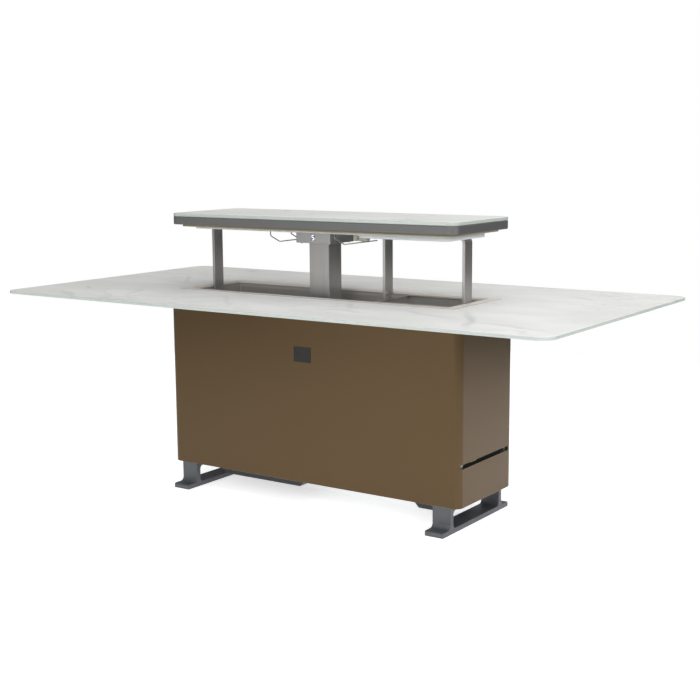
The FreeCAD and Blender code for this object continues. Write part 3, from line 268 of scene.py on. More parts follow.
copperLook = {"colour": (0.60, 0.28, 0.15), "grain": 60, "drift": 0.16, "rough": (0.25, 0.45), "bump": 0.06,
              "shader": {"Metallic": 1.0}}
earthLook = {"colour": (0.30, 0.36, 0.03), "grain": 90, "drift": 0.35, "rough": (0.4, 0.5), "bump": 0.04}
postLook = {"colour": (0.42, 0.412, 0.405), "grain": 1.0, "stretch": (420, 420, 3), "drift": 0.14,
            "rough": (0.28, 0.42), "bump": 0.10, "shader": {"Metallic": 0.85}}
headLook = {"colour": (0.42, 0.418, 0.415), "grain": 1.0, "stretch": (5, 500, 500), "drift": 0.1,
            "rough": (0.3, 0.44), "bump": 0.08, "shader": {"Metallic": 0.85}}
brassLook = {"colour": (0.60, 0.42, 0.14), "grain": 300, "drift": 0.1, "rough": (0.25, 0.4), "bump": 0.06,
             "shader": {"Metallic": 1.0}}
windowLook = {"colour": (0.19, 0.19, 0.20), "grain": 500, "drift": 0.06, "rough": (0.15, 0.25), "bump": 0.02,
              "shader": {"Coat Weight": 0.4}}
bandLook = {"colour": (0.160, 0.159, 0.160), "grain": 1500, "cloud": 4, "drift": 0.06, "rough": (0.38, 0.48),
            "bump": 0.06, "shader": {"Metallic": 0.5}}
sealLook = {"colour": (0.42, 0.35, 0.21), "grain": 500, "drift": 0.1, "rough": (0.55, 0.7), "bump": 0.2}
plugLook = {"colour": (0.78, 0.82, 0.87), "grain": 900, "drift": 0.03, "rough": (0.3, 0.42), "bump": 0.08}
hookLook = {"colour": (0.36, 0.33, 0.285), "grain": 300, "drift": 0.15, "rough": (0.14, 0.28), "bump": 0.04,
            "shader": {"Metallic": 0.9}}
clipLook = {"colour": (0.93, 0.88, 0.78), "grain": 500, "drift": 0.06, "rough": (0.35, 0.5), "bump": 0.08}
zincLook = {"crystals": 90.0, "dark": (0.34, 0.35, 0.36), "light": (0.48, 0.49, 0.50), "rough": (0.35, 0.5),
            "shader": {"Metallic": 0.8}}
digitLook = {"grain": 300.0, "low": (0.72, 0.78, 1.0), "high": (0.92, 0.94, 1.0),
             "shader": {"Emission Strength": 1.3, "Roughness": 0.3}}

marblePrint = marbleFinish("marblePrint", marbleLook)
glassEdge = grainFinish("glassEdge", edgeLook)
trimSteel = grainFinish("trimSteel", trimLook)
linerSteel = grainFinish("linerSteel", linerLook)
breakGrey = grainFinish("breakGrey", breakLook)
collarBlack = grainFinish("collarBlack", collarLook)
foamFill = grainFinish("foamFill", foamLook)
coreBoard = grainFinish("coreBoard", coreLook)
bronzePaint = grainFinish("bronzePaint", bronzeLook)
screwSteel = grainFinish("screwSteel", screwLook)
blackSheet = grainFinish("blackSheet", sheetLook)
badgeBlack = grainFinish("badgeBlack", badgeLook)
railPaint = grainFinish("railPaint", railLook)
padRubber = grainFinish("padRubber", rubberLook)
footGrey = grainFinish("footGrey", footLook)
mouldedBlack = grainFinish("mouldedBlack", mouldedLook)
coilMetal = grainFinish("coilMetal", coilLook)
copperPipe = grainFinish("copperPipe", copperLook)
earthGreen = grainFinish("earthGreen", earthLook)
brushedPost = grainFinish("brushedPost", postLook)
brushedHead = grainFinish("brushedHead", headLook)
nutBrass = grainFinish("nutBrass", brassLook)
windowTint = grainFinish("windowTint", windowLook)
anodisedBand = grainFinish("anodisedBand", bandLook)
sealTan = grainFinish("sealTan", sealLook)
plugWhite = grainFinish("plugWhite", plugLook)
hookChrome = grainFinish("hookChrome", hookLook)
clipCream = grainFinish("clipCream", clipLook)
galvanised = spangleFinish("galvanised", zincLook)
litSegment = digitFinish("litSegment", digitLook)
print("finishes made:", len(bpy.data.materials))

# Shaping tools shared by the pieces
leastCorner = 0.0008  # the sharpest corner of a drawn-in plan
levelSlack, rimSlack, cutSlack = 1e-7, 1e-6, 1e-6  # how near two heights or a cut count as equal
sharpTurn = 0.6  # radians between two faces that make a sharp edge
levelFace = 0.95  # upright share of a normal on a level face


def turnOut(bm):
    bmesh.ops.recalc_face_normals(bm, faces=bm.faces[:])


def pick(items, kind):
    return [item for item in items if isinstance(item, kind)]


def heightsOf(node):
    return [corner.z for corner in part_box(node)]


def acrossFrom(x):
    # turns a drawing of width and height into the upright plane at a place along the length
    return Matrix(((0, 0, 1, x), (1, 0, 0, 0), (0, 1, 0, 0), (0, 0, 0, 1)))


def planOf(node, corner):
    # a solid's plan: length, width, corner radius and middle
    low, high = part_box(node)
    return high.x - low.x, high.y - low.y, corner, (low.x + high.x) / 2, (low.y + high.y) / 2


def inward(plan, cut):
    # the same plan drawn in by a margin, or out by a negative one
    length, width, corner, x, y = plan
    return length - 2 * cut, width - 2 * cut, max(corner - cut, leastCorner), x, y


def outlineLoop(bm, plan, z, steps=12):
    # a level rounded outline, kept as a loop of edges
    length, width, corner, x, y = plan
    known = set(bm.edges)
    place = Matrix.Translation((x, y, z)) @ Matrix.Diagonal((length, width, 1.0, 1.0))
    sheet = bmesh.ops.create_grid(bm, x_segments=1, y_segments=1, size=0.5, matrix=place)
    bmesh.ops.bevel(bm, geom=sheet["verts"], offset=corner, offset_type="OFFSET", affect="VERTICES",
                    segments=steps, profile=0.5, material=-1)
    loop = [edge for edge in bm.edges if edge not in known]
    bmesh.ops.delete(bm, geom=loop[0].link_faces[:], context="FACES_ONLY")
    return loop


def stackOutlines(bm, levels, closed=False, capLow=False, capHigh=False, steps=12):
    # skins a run of outlines, one above or inside the next
    loops = [outlineLoop(bm, plan, z, steps) for plan, z in levels]
    nextLoops = loops[1:] + (loops[:1] if closed else [])
    for low, high in zip(loops, nextLoops):
        if abs(low[0].verts[0].co.z - high[0].verts[0].co.z) < levelSlack:
            bmesh.ops.triangle_fill(bm, use_beauty=True, use_dissolve=False, edges=low + high,
                                    normal=(0, 0, 1))
        else:
            bmesh.ops.bridge_loops(bm, edges=low + high)
    if capLow:
        bmesh.ops.contextual_create(bm, geom=loops[0])
    if capHigh:
        bmesh.ops.contextual_create(bm, geom=loops[-1])
    turnOut(bm)


def softenEdges(bm, edges, offset, segments=2):
    bmesh.ops.bevel(bm, geom=edges, offset=offset, offset_type="OFFSET", affect="EDGES", segments=segments,
                    profile=0.5, material=-1)


def softenRims(bm, heights, offset, segments=2):
    # rounds the level edges that lie at the given heights
    rims = []
    for edge in bm.edges:
        ends = [vert.co.z for vert in edge.verts]
        level = any(max(abs(end - z) for end in ends) < rimSlack for z in heights)
        if level and len(edge.link_faces) == 2 and edge.calc_face_angle() > sharpTurn:
            rims.append(edge)
    softenEdges(bm, rims, offset, segments)


def softenSharp(bm, offset, segments=2, above=sharpTurn):
    sharp = [edge for edge in bm.edges if len(edge.link_faces) == 2 and edge.calc_face_angle() > above]
    softenEdges(bm, sharp, offset, segments)


def outlineSheet(bm, corners, rounds, toWorld):
    # a flat sheet from its corner points, some of them rounded
    spots = [bm.verts.new(toWorld @ Vector((across, up, 0.0))) for across, up in corners]
    bm.faces.new(spots)
    for number, radius in rounds:
        bmesh.ops.bevel(bm, geom=[spots[number]], offset=radius, offset_type="OFFSET", affect="VERTICES",
                        segments=8, profile=0.5, material=-1)


def pullOut(bm, faces, way):
    made = bmesh.ops.extrude_face_region(bm, geom=faces)
    bmesh.ops.translate(bm, verts=pick(made["geom"], bmesh.types.BMVert), vec=way)
    return pick(made["geom"], bmesh.types.BMFace)[0]


def drawBar(bm, face, points, bend, steps=14):
    # a bar or wire drawn from its end face through corner points, each corner a round bend
    at = points[0]
    for number in range(1, len(points) - 1):
        before = (points[number] - points[number - 1]).normalized()
        after = (points[number + 1] - points[number]).normalized()
        turn = before.angle(after)
        axis = before.cross(after).normalized()
        stop = points[number] - before * bend * math.tan(turn / 2)
        face = pullOut(bm, [face], stop - at)
        made = bmesh.ops.spin(bm, geom=[face], cent=stop + axis.cross(before) * bend, axis=axis, angle=turn,
                              steps=steps, use_merge=False, use_duplicate=False)
        face = pick(made["geom_last"], bmesh.types.BMFace)[0]
        at = points[number] + after * bend * math.tan(turn / 2)
    pullOut(bm, [face], points[-1] - at)
    turnOut(bm)


def barEnd(bm, thick, wide, corner, at, turn=Matrix()):
    # the end face of a flat bar with eased corners
    known = set(bm.faces)
    place = Matrix.Translation(at) @ turn @ Matrix.Diagonal((thick, wide, 1.0, 1.0))
    sheet = bmesh.ops.create_grid(bm, x_segments=1, y_segments=1, size=0.5, matrix=place)
    bmesh.ops.bevel(bm, geom=sheet["verts"], offset=corner, offset_type="OFFSET", affect="VERTICES",
                    segments=3, profile=0.5, material=-1)
    return next(face for face in bm.faces if face not in known)


def easedBlock(bm, low, high, ease, segments=2):
    # a block between two corners with its edges eased
    known = set(bm.edges)
    low, high = Vector(low), Vector(high)
    place = Matrix.Translation((low + high) / 2) @ Matrix.Diagonal((*(high - low), 1.0))
    bmesh.ops.create_cube(bm, size=1.0, matrix=place)
    softenEdges(bm, [edge for edge in bm.edges if edge not in known], ease, segments)


headShape = {"sides": 24, "taper": 0.9, "rim": 0.42, "slant": 0.02, "deep": 0.6}


def screwHead(bm, at, axis, radius, height):
    # a low tapered head with a hex socket, standing on a face
    axis = Vector(axis)
    turn = Vector((0, 0, 1)).rotation_difference(axis).to_matrix().to_4x4()
    place = Matrix.Translation(Vector(at) + axis * height / 2) @ turn
    known = set(bm.faces)
    bmesh.ops.create_cone(bm, cap_ends=True, cap_tris=False, segments=headShape["sides"], radius1=radius,
                          radius2=radius * headShape["taper"], depth=height, matrix=place)
    fresh = [face for face in bm.faces if face not in known]
    top = max(fresh, key=lambda face: face.calc_center_median().dot(axis))
    bmesh.ops.inset_individual(bm, faces=[top], thickness=radius * headShape["rim"], depth=0.0)
    bmesh.ops.inset_individual(bm, faces=[top], thickness=radius * headShape["slant"],
                               depth=-height * headShape["deep"])


def screwRow(name, body, spots, axis, radius, height, node=None):
    bm = bmesh.new()
    for at in spots:
        screwHead(bm, at, axis, radius, height)
    settle(bm, name, body, [screwSteel], node)


def settle(bm, name, body, coats, node=None, wall=None, sharp=32):
    # makes the piece, gives it its finishes and hands it to its body
    mesh = bpy.data.meshes.new(name)
    bm.to_mesh(mesh)
    bm.free()
    for coat in coats:
        mesh.materials.append(coat)
    mesh.shade_smooth()
    mesh.set_sharp_from_angle(angle=math.radians(sharp))
    piece = bpy.data.objects.new(name, mesh)
    bpy.context.scene.collection.objects.link(piece)
    if wall is not None:
        sheet = piece.modifiers.new("sheetWall", "SOLIDIFY")
        sheet.thickness = wall
        sheet.offset = -1.0
        sheet.use_even_offset = True
    even = piece.modifiers.new("evenShade", "WEIGHTED_NORMAL")
    even.keep_sharp = True
    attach(piece, body)
    if node:
        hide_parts(node)
    return piece


def paintRim(bm):
    # level faces carry the print, the rest shows the glass edge
    for face in bm.faces:
        face.material_index = 0 if abs(face.normal.z) > levelFace else 1


# Glass top and the well in it
well = {"ringCorner": 0.013, "ring": 0.008}  # the plastic ring that frames the well
wellPlan = inward(planOf("thermal_break", well["ringCorner"]), well["ring"])

tableTop = {"corner": 0.050, "arris": 0.0014, "holeGap": 0.004}
bm = bmesh.new()
glassLow, glassHigh = heightsOf("tabletop_glass")
rim = planOf("tabletop_glass", tableTop["corner"])
hole = inward(wellPlan, -tableTop["holeGap"])
stackOutlines(bm, [(rim, glassLow), (rim, glassHigh), (hole, glassHigh), (hole, glassLow)], closed=True,
              steps=16)
softenRims(bm, (glassLow, glassHigh), tableTop["arris"], 3)
paintRim(bm)
settle(bm, "glassTop", "table", [marblePrint, glassEdge], "tabletop_glass")

trim = {"corner": 0.003, "skirt": 0.0015, "ease": 0.0006, "fold": 0.006, "paintedShadowGap": 0.0012}
bm = bmesh.new()
trimLow, trimHigh = heightsOf("well_trim")
flange = planOf("well_trim", trim["corner"])
skirt = inward(wellPlan, -trim["skirt"])
foldZ = trimHigh - trim["fold"]
stackOutlines(bm, [(flange, glassHigh), (flange, trimHigh), (wellPlan, trimHigh), (wellPlan, foldZ),
                   (wellPlan, trimLow), (skirt, trimLow), (skirt, glassHigh)], closed=True, steps=10)
softenRims(bm, (trimHigh,), trim["ease"], 2)
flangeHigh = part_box("well_trim")[1]
# faces along the flange's outer edge get the break grey as a painted shadow gap
for face in bm.faces:
    middle = face.calc_center_median()
    inPaintedShadowGap = max(abs(middle.x) - flangeHigh.x, abs(middle.y) - flangeHigh.y) > -trim["paintedShadowGap"]
    face.material_index = 2 if inPaintedShadowGap else 1 if middle.z < foldZ else 0  # painted shadow gap in break grey, plain skirt, bright top
settle(bm, "wellTrim", "table", [trimSteel, linerSteel, breakGrey], "well_trim")

liner = {"sheet": 0.0015, "toe": 0.006, "toeShare": 0.3, "flangeCorner": 0.013, "guide": (0.0928, 0.0868),
         "guideCorner": 0.0094}
bm = bmesh.new()
linerLow, linerTop = heightsOf("chamber_liner")
linerFloor = linerLow + liner["sheet"]
linerRim = planOf("chamber_liner", liner["flangeCorner"])
outside = inward(wellPlan, -liner["sheet"])
toe = liner["toe"]
toeMid = toe * liner["toeShare"]
guideHole = (*liner["guide"], liner["guideCorner"], *planOf("column_guide", 0)[3:])
stackOutlines(bm, [(linerRim, linerTop), (wellPlan, linerTop), (wellPlan, linerFloor + toe),
                   (inward(wellPlan, toeMid), linerFloor + toeMid), (inward(wellPlan, toe), linerFloor),
                   (guideHole, linerFloor), (guideHole, linerLow), (outside, linerLow),
                   (outside, linerTop - liner["sheet"]), (linerRim, linerTop - liner["sheet"])],
              closed=True, steps=14)
settle(bm, "wellLiner", "table", [linerSteel], "chamber_liner")
print("glass top and well done")

# Cabinet
wrap = {"corner": 0.025, "roll": 0.002, "rollShare": 0.3, "sheet": 0.0015, "slotLow": 0.225,
        "slotHigh": 0.240, "slotFront": -0.172, "slotRear": 0.155, "rearBand": 0.003}
bm = bmesh.new()
wrapLow, wrapHigh = heightsOf("cabinet_wrap")
wrapPlan = planOf("cabinet_wrap", wrap["corner"])
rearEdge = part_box("rear_panel")[1].x
roll = wrap["roll"]
rollMid = roll * wrap["rollShare"]
stackOutlines(bm, [(inward(wrapPlan, roll), wrapLow), (inward(wrapPlan, rollMid), wrapLow + rollMid),
                   (wrapPlan, wrapLow + roll), (wrapPlan, wrap["slotLow"]), (wrapPlan, wrap["slotHigh"]),
                   (wrapPlan, wrapHigh)], steps=20)
cuts = [((side * rearEdge, 0, 0), (1, 0, 0)) for side in (-1, 1)]
cuts += [((0, wrap[edge], 0), (0, 1, 0)) for edge in ("slotFront", "slotRear")]
for at, way in cuts:
    everything = bm.verts[:] + bm.edges[:] + bm.faces[:]
    bmesh.ops.bisect_plane(bm, geom=everything, plane_co=at, plane_no=way, dist=cutSlack)
gone = []
wrapLength, wrapWidth = wrapPlan[:2]
for face in bm.faces:
    at = face.calc_center_median()
    onRear = at.y > wrapWidth / 2 - wrap["rearBand"] and abs(at.x) < rearEdge
    inSlot = wrap["slotLow"] < at.z < wrap["slotHigh"] and wrap["slotFront"] < at.y < wrap["slotRear"]
    if onRear or (inSlot and abs(at.x) > wrapLength / 2 - wrap["corner"]):
        gone.append(face)
bmesh.ops.delete(bm, geom=gone, context="FACES")
outward = sum(face.normal.xy.dot(face.calc_center_median().xy) for face in bm.faces)
if outward < 0:
    bmesh.ops.reverse_faces(bm, faces=bm.faces[:])
settle(bm, "cabinetWrap", "table", [bronzePaint], "cabinet_wrap", wall=wrap["sheet"])

louvre = {"length": 0.126, "rise": 0.009, "reach": 0.0055, "pitch": 0.016, "first": 0.102, "count": 6,
          "middles": (-0.330, 0.440), "sheet": 0.0008}
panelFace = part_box("rear_panel")[1].y


def louvreHood(bm, middle, z):
    # a quarter of a flattened tube, closed at its ends, over a slot of the rear panel
    known = set(bm.verts)
    squash = Matrix.Diagonal((1, louvre["reach"] / louvre["rise"], 1, 1))
    place = Matrix.Translation((middle, panelFace, z)) @ squash @ Matrix.Rotation(math.pi / 2, 4, "Y")
    bmesh.ops.create_cone(bm, cap_ends=True, cap_tris=False, segments=32, radius1=louvre["rise"],
                          radius2=louvre["rise"], depth=louvre["length"], matrix=place)
    for way in ((0, -1, 0), (0, 0, -1)):
        mine = [vert for vert in bm.verts if vert not in known]
        edges = {edge for vert in mine for edge in vert.link_edges}
        faces = {face for vert in mine for face in vert.link_faces}
        bmesh.ops.bisect_plane(bm, geom=mine + list(edges) + list(faces), plane_co=(0, panelFace, z),
                               plane_no=way, dist=cutSlack, clear_outer=True)


bm = bmesh.new()
for middle in louvre["middles"]:
    for number in range(louvre["count"]):
        louvreHood(bm, middle, louvre["first"] + number * louvre["pitch"])
turnOut(bm)
settle(bm, "louvreHoods", "table", [bronzePaint], wall=louvre["sheet"])

badge = {"corner": 0.003, "frame": 0.0022, "sink": 0.0004, "ease": 0.0003, "sharp": 0.9}
bm = bmesh.new()
low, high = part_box("badge_plate")
place = Matrix.Translation((low + high) / 2) @ Matrix.Diagonal((*(high - low), 1.0))
bmesh.ops.create_cube(bm, size=1.0, matrix=place)
corners = [edge for edge in bm.edges if abs(edge.verts[0].co.y - edge.verts[1].co.y) > badge["sink"]]
softenEdges(bm, corners, badge["corner"], 5)
front = min(bm.faces, key=lambda face: face.calc_center_median().y)
bmesh.ops.inset_individual(bm, faces=[front], thickness=badge["frame"], depth=0.0)
bmesh.ops.inset_individual(bm, faces=[front], thickness=badge["ease"], depth=-badge["sink"])
softenSharp(bm, badge["ease"], 2, above=badge["sharp"])
settle(bm, "bareBadge", "table", [badgeBlack], "badge_plate")

screw = {"radius": 0.005, "height": 0.003}
low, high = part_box("panel_screws")
panelReach, panelThird = high.x - screw["radius"], 0.34
panelHeights = (low.z + screw["radius"], high.z - screw["radius"])
panelShares = (-1, -panelThird, panelThird, 1)
panelSpots = [(share * panelReach, panelFace, z) for share in panelShares for z in panelHeights]
screwRow("panelScrewHeads", "table", panelSpots, (0, 1, 0), screw["radius"], screw["height"], "panel_screws")

inlet = {"pinMiddle": (0.240, 0.1780, 0.150), "pins": ((-0.007, 0.0025), (0.0, -0.0025), (0.007, 0.0025)),
         "pinSize": (0.0016, 0.015, 0.0045), "ease": 0.0004}
bm = bmesh.new()
half = Vector(inlet["pinSize"]) / 2
for across, up in inlet["pins"]:
    at = Vector(inlet["pinMiddle"]) + Vector((across, 0, up))
    easedBlock(bm, at - half, at + half, inlet["ease"])
settle(bm, "inletPins", "table", [screwSteel])
print("cabinet done")

# Feet and the black trays under the cabinet
foot = {"bar": 0.018, "upright": 0.1795, "post": 0.020, "topBar": 0.014, "nose": 0.006, "shoulder": 0.015,
        "window": 0.012, "ease": 0.0015}
for label, node in (("footLeft", "foot_left"), ("footRight", "foot_right")):
    bm = bmesh.new()
    low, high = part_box(node)
    toWorld = acrossFrom(low.x)
    toe, side, bar, top = high.y, foot["upright"], foot["bar"], high.z
    outline = [(-toe, 0), (toe, 0), (toe, bar), (side, bar), (side, top), (-side, top), (-side, bar),
               (-toe, bar)]
    nose, shoulder = foot["nose"], foot["shoulder"]
    outlineSheet(bm, outline, [(2, nose), (3, shoulder), (6, shoulder), (7, nose)], toWorld)
    inner, up = side - foot["post"], top - foot["topBar"]
    window = [(-inner, bar), (inner, bar), (inner, up), (-inner, up)]
    outlineSheet(bm, window, [(number, foot["window"]) for number in range(4)], toWorld)
    bmesh.ops.delete(bm, geom=bm.faces[:], context="FACES_ONLY")
    bmesh.ops.triangle_fill(bm, use_beauty=True, use_dissolve=False, edges=bm.edges[:])
    pullOut(bm, bm.faces[:], (high.x - low.x, 0, 0))
    turnOut(bm)
    softenSharp(bm, foot["ease"], 2)
    settle(bm, label, "table", [footGrey], node)

underTray = {"slope": 0.020, "ease": 0.0025, "sharp": 0.5}
for label, node in (("underTrayLeft", "undertray_left"), ("underTrayRight", "undertray_right")):
    bm = bmesh.new()
    low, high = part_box(node)
    toWorld = Matrix(((1, 0, 0, 0), (0, 0, 1, low.y), (0, 1, 0, 0), (0, 0, 0, 1)))
    slope = underTray["slope"]
    line = [(low.x, high.z), (low.x, low.z + slope), (low.x + slope, low.z), (high.x - slope, low.z),
            (high.x, low.z + slope), (high.x, high.z)]
    outlineSheet(bm, line, [], toWorld)
    pullOut(bm, bm.faces[:], (0, high.y - low.y, 0))
    turnOut(bm)
    softenSharp(bm, underTray["ease"], 3, above=underTray["sharp"])
    settle(bm, label, "table", [mouldedBlack], node)
print("feet done")

# Column, its collar and its head
column = {"corner": 0.004, "collarCorner": 0.0124, "collarGap": 0.0004, "collarEase": 0.0015}
columnPlan = planOf("lift_column", column["corner"])
bm = bmesh.new()
stackOutlines(bm, [(columnPlan, z) for z in heightsOf("lift_column")], capLow=True, capHigh=True, steps=8)
settle(bm, "liftColumn", "lid", [brushedPost], "lift_column")

bm = bmesh.new()
collarLow, collarHigh = heightsOf("guide_collar")
collarOut = planOf("guide_collar", column["collarCorner"])
collarIn = inward(columnPlan, -column["collarGap"])
stackOutlines(bm, [(collarOut, collarLow), (collarOut, collarHigh), (collarIn, collarHigh),
                   (collarIn, collarLow)], closed=True, steps=8)
softenRims(bm, (collarHigh,), column["collarEase"], 3)
settle(bm, "guideCollar", "table", [collarBlack], "guide_collar")

head = {"corner": 0.004, "ease": 0.0012, "screwReach": 0.060}
headPlan = planOf("column_head", head["corner"])
headLow, headHigh = heightsOf("column_head")
bm = bmesh.new()
stackOutlines(bm, [(headPlan, headLow), (headPlan, headHigh)], capLow=True, capHigh=True, steps=8)
softenRims(bm, (headLow,), head["ease"], 2)
settle(bm, "columnHead", "lid", [brushedHead], "column_head")
reach = head["screwReach"]
headSpots = [(headPlan[3] + x * reach, y * reach, headLow) for x in (-1, 1) for y in (-1, 1)]
screwRow("headScrewHeads", "lid", headSpots, (0, 0, -1), screw["radius"], screw["height"], "head_screws")

display = {"proud": 0.0002, "ease": 0.0004, "wide": 0.0085, "tall": 0.0160, "bar": 0.0022, "barGap": 0.6,
           "glow": 0.0004}
bm = bmesh.new()
low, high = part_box("temperature_display")
easedBlock(bm, low - Vector((0, display["proud"], 0)), high, display["ease"])
settle(bm, "displayWindow", "lid", [windowTint], "temperature_display")

bm = bmesh.new()
middle = (low + high) / 2
half, rise, bar = display["wide"] / 2, display["tall"] / 2, display["bar"]
segments = [(0, up, half, bar / 2) for up in (rise, 0, -rise)]
barRise = (rise - bar * display["barGap"]) / 2
segments += [(side * half, side * -rise / 2, bar / 2, barRise) for side in (-1, 1)]
face = low.y - display["proud"]
for across, up, wide, tall in segments:
    at = Vector((middle.x + across, 0, middle.z + up))
    lowEnd = at + Vector((-wide, face - display["glow"], -tall))
    easedBlock(bm, lowEnd, at + Vector((wide, face, tall)), display["glow"] / 3)
settle(bm, "litDigit", "lid", [litSegment])
print("column done")

# Lid
lid = {"corner": 0.035, "arris": 0.0014, "wall": 0.003, "groove": 0.0012, "lowEase": 0.0028, "step": 0.0018,
       "easeShares": ((0.8, 0.0), (0.25, 0.3), (0.0, 1.0))}
bm = bmesh.new()
lidPlan = planOf("lid_glass", lid["corner"])
lidGlassLow, lidGlassHigh = heightsOf("lid_glass")
stackOutlines(bm, [(lidPlan, lidGlassLow), (lidPlan, lidGlassHigh)], capLow=True, capHigh=True, steps=16)
softenRims(bm, (lidGlassLow, lidGlassHigh), lid["arris"], 3)
paintRim(bm)
settle(bm, "lidGlass", "lid", [marblePrint, glassEdge], "lid_glass")

bm = bmesh.new()
framePlan = planOf("lid_frame", lid["corner"])
frameLow, frameHigh = heightsOf("lid_frame")
groove, lowEase, step = lid["groove"], lid["lowEase"], lid["step"]
frameInside = inward(framePlan, lid["wall"])
levels = [(inward(framePlan, lowEase * cut), frameLow + lowEase * up) for cut, up in lid["easeShares"]]
levels += [(framePlan, frameHigh - groove - step), (inward(framePlan, groove), frameHigh - step),
           (inward(framePlan, groove), frameHigh), (frameInside, frameHigh), (frameInside, frameLow)]
stackOutlines(bm, levels, closed=True, steps=16)
settle(bm, "lidFrame", "lid", [anodisedBand], "lid_frame")

plug = {"corner": 0.022, "ease": 0.003}
seal = {"corner": 0.010, "ease": 0.0015, "lip": 0.0040, "neck": 0.0018}
plugPlan = planOf("lid_plug", plug["corner"])
bm = bmesh.new()
sealLow, sealHigh = heightsOf("lid_gasket")
sealPlan = planOf("lid_gasket", seal["corner"])
neckPlan = inward(sealPlan, seal["neck"])
stackOutlines(bm, [(inward(sealPlan, seal["ease"]), sealLow), (sealPlan, sealLow + seal["ease"]),
                   (sealPlan, sealLow + seal["lip"]), (neckPlan, sealLow + seal["lip"] + seal["neck"]),
                   (neckPlan, sealHigh), (plugPlan, sealHigh), (plugPlan, sealLow)], closed=True, steps=12)
settle(bm, "lidSeal", "lid", [sealTan], "lid_gasket")

for label, node in (("lidPlug", "lid_plug"), ("plugBlock", "lid_plug_block")):
    bm = bmesh.new()
    low, high = heightsOf(node)
    plan = planOf(node, plug["corner"])
    stackOutlines(bm, [(plan, low), (plan, high)], capLow=True, capHigh=True, steps=12)
    softenRims(bm, (low,), plug["ease"], 4)
    settle(bm, label, "lid", [plugWhite], node)
print("lid done")

# Hangers of flat bar, and the trays they carry
hanger = {"thick": 0.011, "corner": 0.0016, "bend": 0.0195, "sunk": 0.012, "flange": 0.030}
thick = hanger["thick"]


def hangerBar(bm, path, turn=Matrix()):
    # a flat bar in the plane of the hangers, through points given by length and height
    points = [Vector((x, 0, z)) for x, z in path]
    start = barEnd(bm, thick, rightHigh.y - rightLow.y, hanger["corner"], points[0], turn)
    drawBar(bm, start, points, hanger["bend"])


rightLow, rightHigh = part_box("hanger_right")
bm = bmesh.new()
rightX, bendZ = rightHigh.x - thick / 2, rightHigh.z + hanger["sunk"] - thick / 2
hangerBar(bm, [(rightX, rightLow.z), (rightX, bendZ), (rightHigh.x - hanger["flange"], bendZ)])
everything = bm.verts[:] + bm.edges[:] + bm.faces[:]
cut = bmesh.ops.bisect_plane(bm, geom=everything, plane_co=rightHigh, plane_no=(0, 0, 1), dist=cutSlack,
                             clear_outer=True)
bmesh.ops.contextual_create(bm, geom=pick(cut["geom_cut"], bmesh.types.BMEdge))
settle(bm, "rightHanger", "lid", [brushedPost], "hanger_right", sharp=40)

middleLow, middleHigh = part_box("hanger_middle")
bm = bmesh.new()
middleX = (middleLow.x + middleHigh.x) / 2
hangerBar(bm, [(middleX, middleLow.z), (middleX, middleHigh.z)])
settle(bm, "middleHanger", "lid", [brushedPost], "hanger_middle", sharp=40)

leftLow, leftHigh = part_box("hanger_left")
bm = bmesh.new()
outX, armZ = leftLow.x + thick / 2, leftLow.z + thick / 2
hangerBar(bm, [(outX, leftLow.z), (outX, leftHigh.z)])
hangerBar(bm, [(leftLow.x + thick, armZ), (leftHigh.x, armZ)], Matrix.Rotation(math.pi / 2, 4, "Y"))
settle(bm, "leftHanger", "lid", [brushedPost], "hanger_left", sharp=40)

tray = {"corner": 0.006, "sheet": 0.0015, "roll": 0.0012, "lip": 0.006, "mouthCut": 0.024, "mouthWide": 0.199,
        "mouthBack": 0.0165}


def trayShell(label, node, rimLevels):
    # outside up to the rim, over the rim, and down the inside
    plan = planOf(node, tray["corner"])
    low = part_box(node)[0].z
    sheet = tray["sheet"]
    bm = bmesh.new()
    levels = [(inward(plan, sheet), low), (plan, low + sheet)] + rimLevels(plan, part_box(node)[1].z)
    levels += [(inward(plan, sheet), low + 2 * sheet), (inward(plan, 2 * sheet), low + sheet)]
    stackOutlines(bm, levels, capLow=True, capHigh=True, steps=8)
    settle(bm, label, "lid", [linerSteel], node)


def rolledRim(plan, top):
    roll, lip, sheet = tray["roll"], tray["lip"], tray["sheet"]
    return [(plan, top - roll), (inward(plan, roll), top), (inward(plan, lip), top),
            (inward(plan, lip), top - sheet), (inward(plan, sheet), top - sheet)]


def deckRim(plan, top):
    roll, sheet = tray["roll"], tray["sheet"]
    mouth = (plan[0] - tray["mouthCut"], tray["mouthWide"], plan[2], plan[3], tray["mouthBack"])
    return [(plan, top - roll), (inward(plan, roll), top), (mouth, top), (mouth, top - sheet),
            (inward(plan, sheet), top - sheet)]


trayShell("leftTray", "tray_left", rolledRim)
trayShell("rightTray", "tray_right", deckRim)

trayScrew = {"leftHeights": (0.591, 0.619), "rightHeights": (0.721, 0.693)}
bm = bmesh.new()
grip = thick + tray["sheet"]
rows = ((leftLow.x, 1, trayScrew["leftHeights"]), (middleLow.x, 1, trayScrew["rightHeights"]),
        (rightHigh.x, -1, trayScrew["rightHeights"]))
for x, way, heights in rows:
    for z in heights:
        screwHead(bm, (x, 0, z), (-way, 0, 0), screw["radius"], screw["height"])
        screwHead(bm, (x + way * grip, 0, z), (way, 0, 0), screw["radius"], screw["height"])
settle(bm, "trayScrewHeads", "lid", [screwSteel], "tray_screws")

